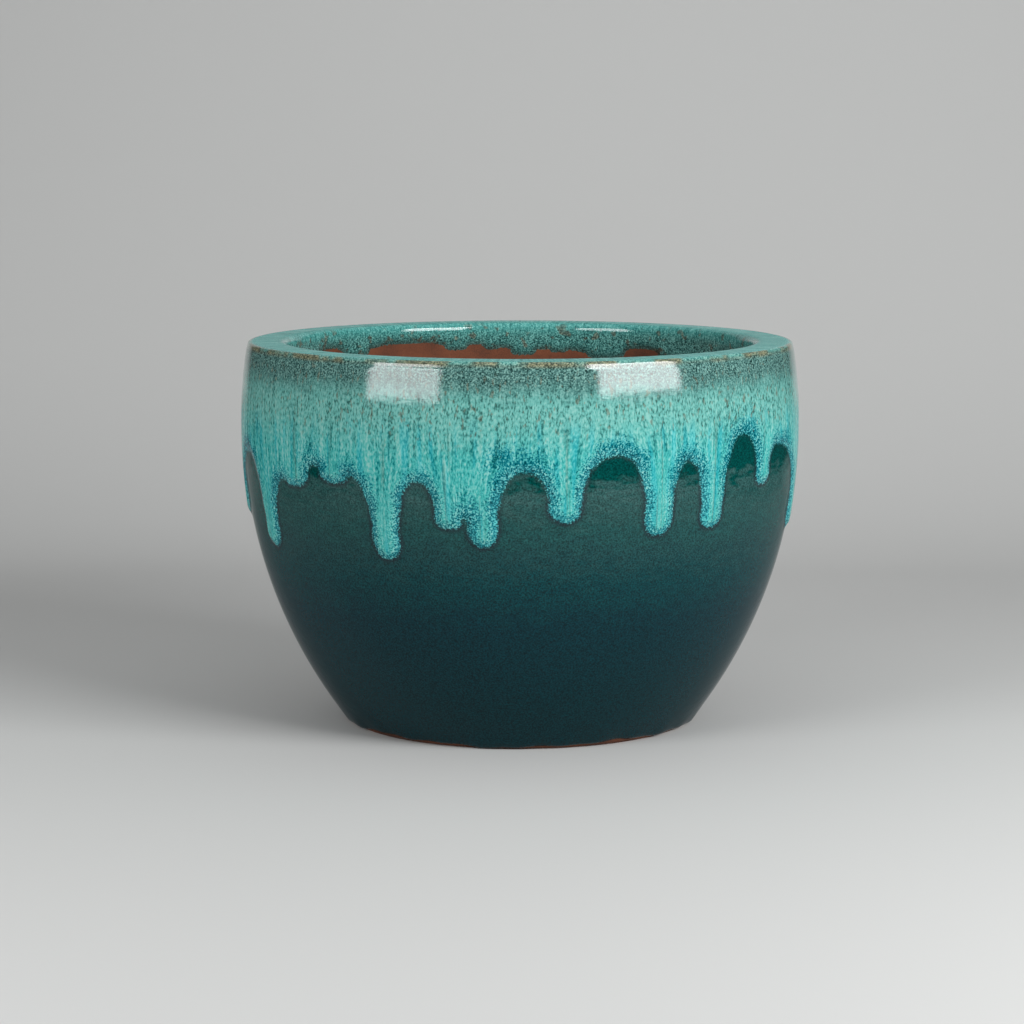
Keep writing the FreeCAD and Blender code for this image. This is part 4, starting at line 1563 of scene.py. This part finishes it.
@dataclass
class Studio:
    """The photographer's table, backdrop, soft boxes and camera."""

    table_front: float = -0.62
    table_back: float = 1.0
    half_width: float = 0.66
    corner: float = 0.56
    corner_segments: int = 16
    backdrop_height: float = 2.2
    fold: float = 0.5
    fold_segments: int = 24
    paper: str = "CFD0CF"
    paper_back: str = "D2D3D2"
    paper_turns: tuple[float, float] = (-0.6, 1.0)
    paper_roughness: float = 0.9
    dark_sides: str = "000000"
    dark_from: float = 0.52
    dark_share: float = 0.7
    box_distance: float = 1.3
    boxes: tuple[SoftBox, ...] = (
        SoftBox("soft_box_left", -46.3, 0.70, 0.28, 0.28, -2.5, 8.4),
        SoftBox("soft_box_left_top", -46.3, 0.66, 0.56, 0.14, -2.5, 11.0),
        SoftBox("soft_box_right", 47.5, 0.80, 0.315, 0.375, 1.5, 11.9),
        SoftBox("soft_box_right_top", 46.2, 0.88, 0.69, 0.19, 1.5, 19.0),
    )
    ceiling: tuple[float, float] = (0.4, 0.85)
    room_light: tuple[float, float] = (0.05, 0.55)
    camera_back: float = 1.6311
    camera_side: float = -0.0043
    camera_height: float = 0.3296
    camera_down: float = 7.628
    sensor_mm: float = 36.0
    focal_pixels: float = 3037.3
    image_pixels: float = 1024.0

    def build(self) -> None:
        """Sets up the whole studio."""
        sweep = self._sweep()
        sweep.data.materials.append(self._paper())
        self._lights()
        self._world()
        self._camera()
        bpy.context.scene.view_settings.view_transform = "Standard"

    def _sweep(self) -> bpy.types.Object:
        """Lays out a table with a rounded front that sweeps up into the backdrop.

        Returns:
            The sweep, without its paper.
        """
        depth = self.table_back - self.table_front
        bpy.ops.object.select_all(action="DESELECT")
        bpy.ops.mesh.primitive_plane_add(size=1.0)
        sweep = bpy.context.active_object
        sweep.name = "paper_sweep"
        places = vertex_places(sweep)
        places[:, 0] *= 2 * self.half_width
        places[:, 1] = self.table_front + (places[:, 1] + 0.5) * depth
        sweep.data.vertices.foreach_set("co", places.ravel())
        bpy.ops.object.mode_set(mode="EDIT")
        bpy.ops.mesh.select_all(action="DESELECT")
        bpy.ops.mesh.select_mode(type="EDGE")
        bpy.ops.object.mode_set(mode="OBJECT")
        for edge in sweep.data.edges:
            ends = [sweep.data.vertices[i].co.y for i in edge.vertices]
            edge.select = min(ends) > self.table_back - NEAR
        bpy.ops.object.mode_set(mode="EDIT")
        bpy.ops.mesh.extrude_region_move(TRANSFORM_OT_translate={"value": (0, 0, self.backdrop_height)})
        bpy.ops.object.mode_set(mode="OBJECT")
        for edge in sweep.data.edges:
            ends = [sweep.data.vertices[i].co for i in edge.vertices]
            edge.select = all(abs(e.y - self.table_back) < NEAR and abs(e.z) < NEAR for e in ends)
        bpy.ops.object.mode_set(mode="EDIT")
        bpy.ops.mesh.bevel(offset=self.fold, segments=self.fold_segments, affect="EDGES")
        bpy.ops.mesh.select_mode(type="VERT")
        bpy.ops.mesh.select_all(action="DESELECT")
        bpy.ops.object.mode_set(mode="OBJECT")
        for corner in sweep.data.vertices:
            corner.select = corner.co.y < self.table_front + NEAR
        bpy.ops.object.mode_set(mode="EDIT")
        bpy.ops.mesh.bevel(offset=self.corner, segments=self.corner_segments, affect="VERTICES")
        bpy.ops.object.mode_set(mode="OBJECT")
        bpy.ops.object.shade_smooth()
        return sweep

    def _paper(self) -> bpy.types.Material:
        """Makes the paper, which is matt, grey and dark at its sides.

        It shows its face alone, so that it hides nothing of the pot from behind or from below.

        Returns:
            The material.
        """
        material, add, place = new_material("grey_paper")
        split = add("ShaderNodeSeparateXYZ", {0: place})
        first, last = self.paper_turns
        back = add("ShaderNodeMapRange", {"Value": split.outputs["Y"], "From Min": first, "From Max": last})
        tone = add("ShaderNodeValToRGB", {"Fac": back}, ((0.0, self.paper), (1.0, self.paper_back)))
        aside = add("ShaderNodeMath", {0: split.outputs["X"]}, operation="ABSOLUTE")
        fade = add(
            "ShaderNodeMapRange",
            {
                "Value": aside,
                "From Min": self.dark_from,
                "From Max": self.half_width,
                "To Max": self.dark_share,
            },
            interpolation_type="SMOOTHSTEP",
        )
        faded = add(
            "ShaderNodeMix", {"Factor": fade, "A": tone, "B": linear(self.dark_sides)}, data_type="RGBA"
        )
        shader = add(
            "ShaderNodeBsdfPrincipled", {"Base Color": faded.outputs[2], "Roughness": self.paper_roughness}
        )
        side = add("ShaderNodeNewGeometry").outputs["Backfacing"]
        clear = add("ShaderNodeBsdfTransparent")
        faced = add("ShaderNodeMixShader", {0: side, 1: shader, 2: clear})
        add("ShaderNodeOutputMaterial", {"Surface": faced})
        return material

    def _lights(self) -> None:
        """Hangs two soft boxes at the sides in front, a little askew, each brighter in a strip near its top."""
        for box in self.boxes:
            turn = math.radians(box.azimuth)
            away = self.box_distance
            spot = (away * math.sin(turn), -away * math.cos(turn), box.low + box.tall / 2)
            bpy.ops.object.light_add(type="AREA", location=spot)
            lamp = bpy.context.active_object
            lamp.name = box.name
            lamp.data.shape = "RECTANGLE"
            lamp.data.size = box.width
            lamp.data.size_y = box.tall
            lamp.data.energy = box.radiance * box.width * box.tall * math.pi
            lamp.rotation_euler = (math.pi / 2, math.radians(box.roll), turn)

    def _world(self) -> None:
        """Sets up a dim room that brightens towards its ceiling."""
        world = bpy.data.worlds.new("studio_room")
        world.use_nodes = True
        bpy.context.scene.world = world
        world.node_tree.nodes.clear()
        add = partial(add_node, world.node_tree)
        direction = add("ShaderNodeTexCoord").outputs["Generated"]
        split = add("ShaderNodeSeparateXYZ", {0: direction})
        (low, high), (dim, bright) = self.ceiling, self.room_light
        level = add(
            "ShaderNodeMapRange",
            {"Value": split.outputs["Z"], "From Min": low, "From Max": high, "To Min": dim, "To Max": bright},
            interpolation_type="SMOOTHSTEP",
        )
        light = add("ShaderNodeBackground", {"Strength": level})
        add("ShaderNodeOutputWorld", {"Surface": light})

    def _camera(self) -> None:
        """Puts the camera where the photograph was taken from."""
        spot = (self.camera_side, -self.camera_back, self.camera_height)
        turn = (math.radians(90 - self.camera_down), 0.0, 0.0)
        bpy.ops.object.camera_add(location=spot, rotation=turn)
        camera = bpy.context.active_object
        camera.data.sensor_width = self.sensor_mm
        camera.data.lens = self.sensor_mm * self.focal_pixels / self.image_pixels
        bpy.context.scene.camera = camera


def main() -> None:
    """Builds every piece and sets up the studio."""
    logging.basicConfig(level=logging.INFO)
    form = PotForm.from_frame()
    outer_edge = PouredEdge(OUTER_RUNS, form.belly_radius, OUTER_WOBBLE)
    inner_edge = PouredEdge(INNER_RUNS, form.mouth_radius, INNER_WOBBLE)
    makers = (ClayPot(form), DarkCoat(form), PouredCoat(form, outer_edge, inner_edge))
    for maker in makers:
        piece = maker.build()
        LOG.info("%s: %d faces", piece.name, len(piece.data.polygons))
    LOG.info("%s: dressed", dress_plug().name)
    Studio().build()


if __name__ == "__main__":
    main()
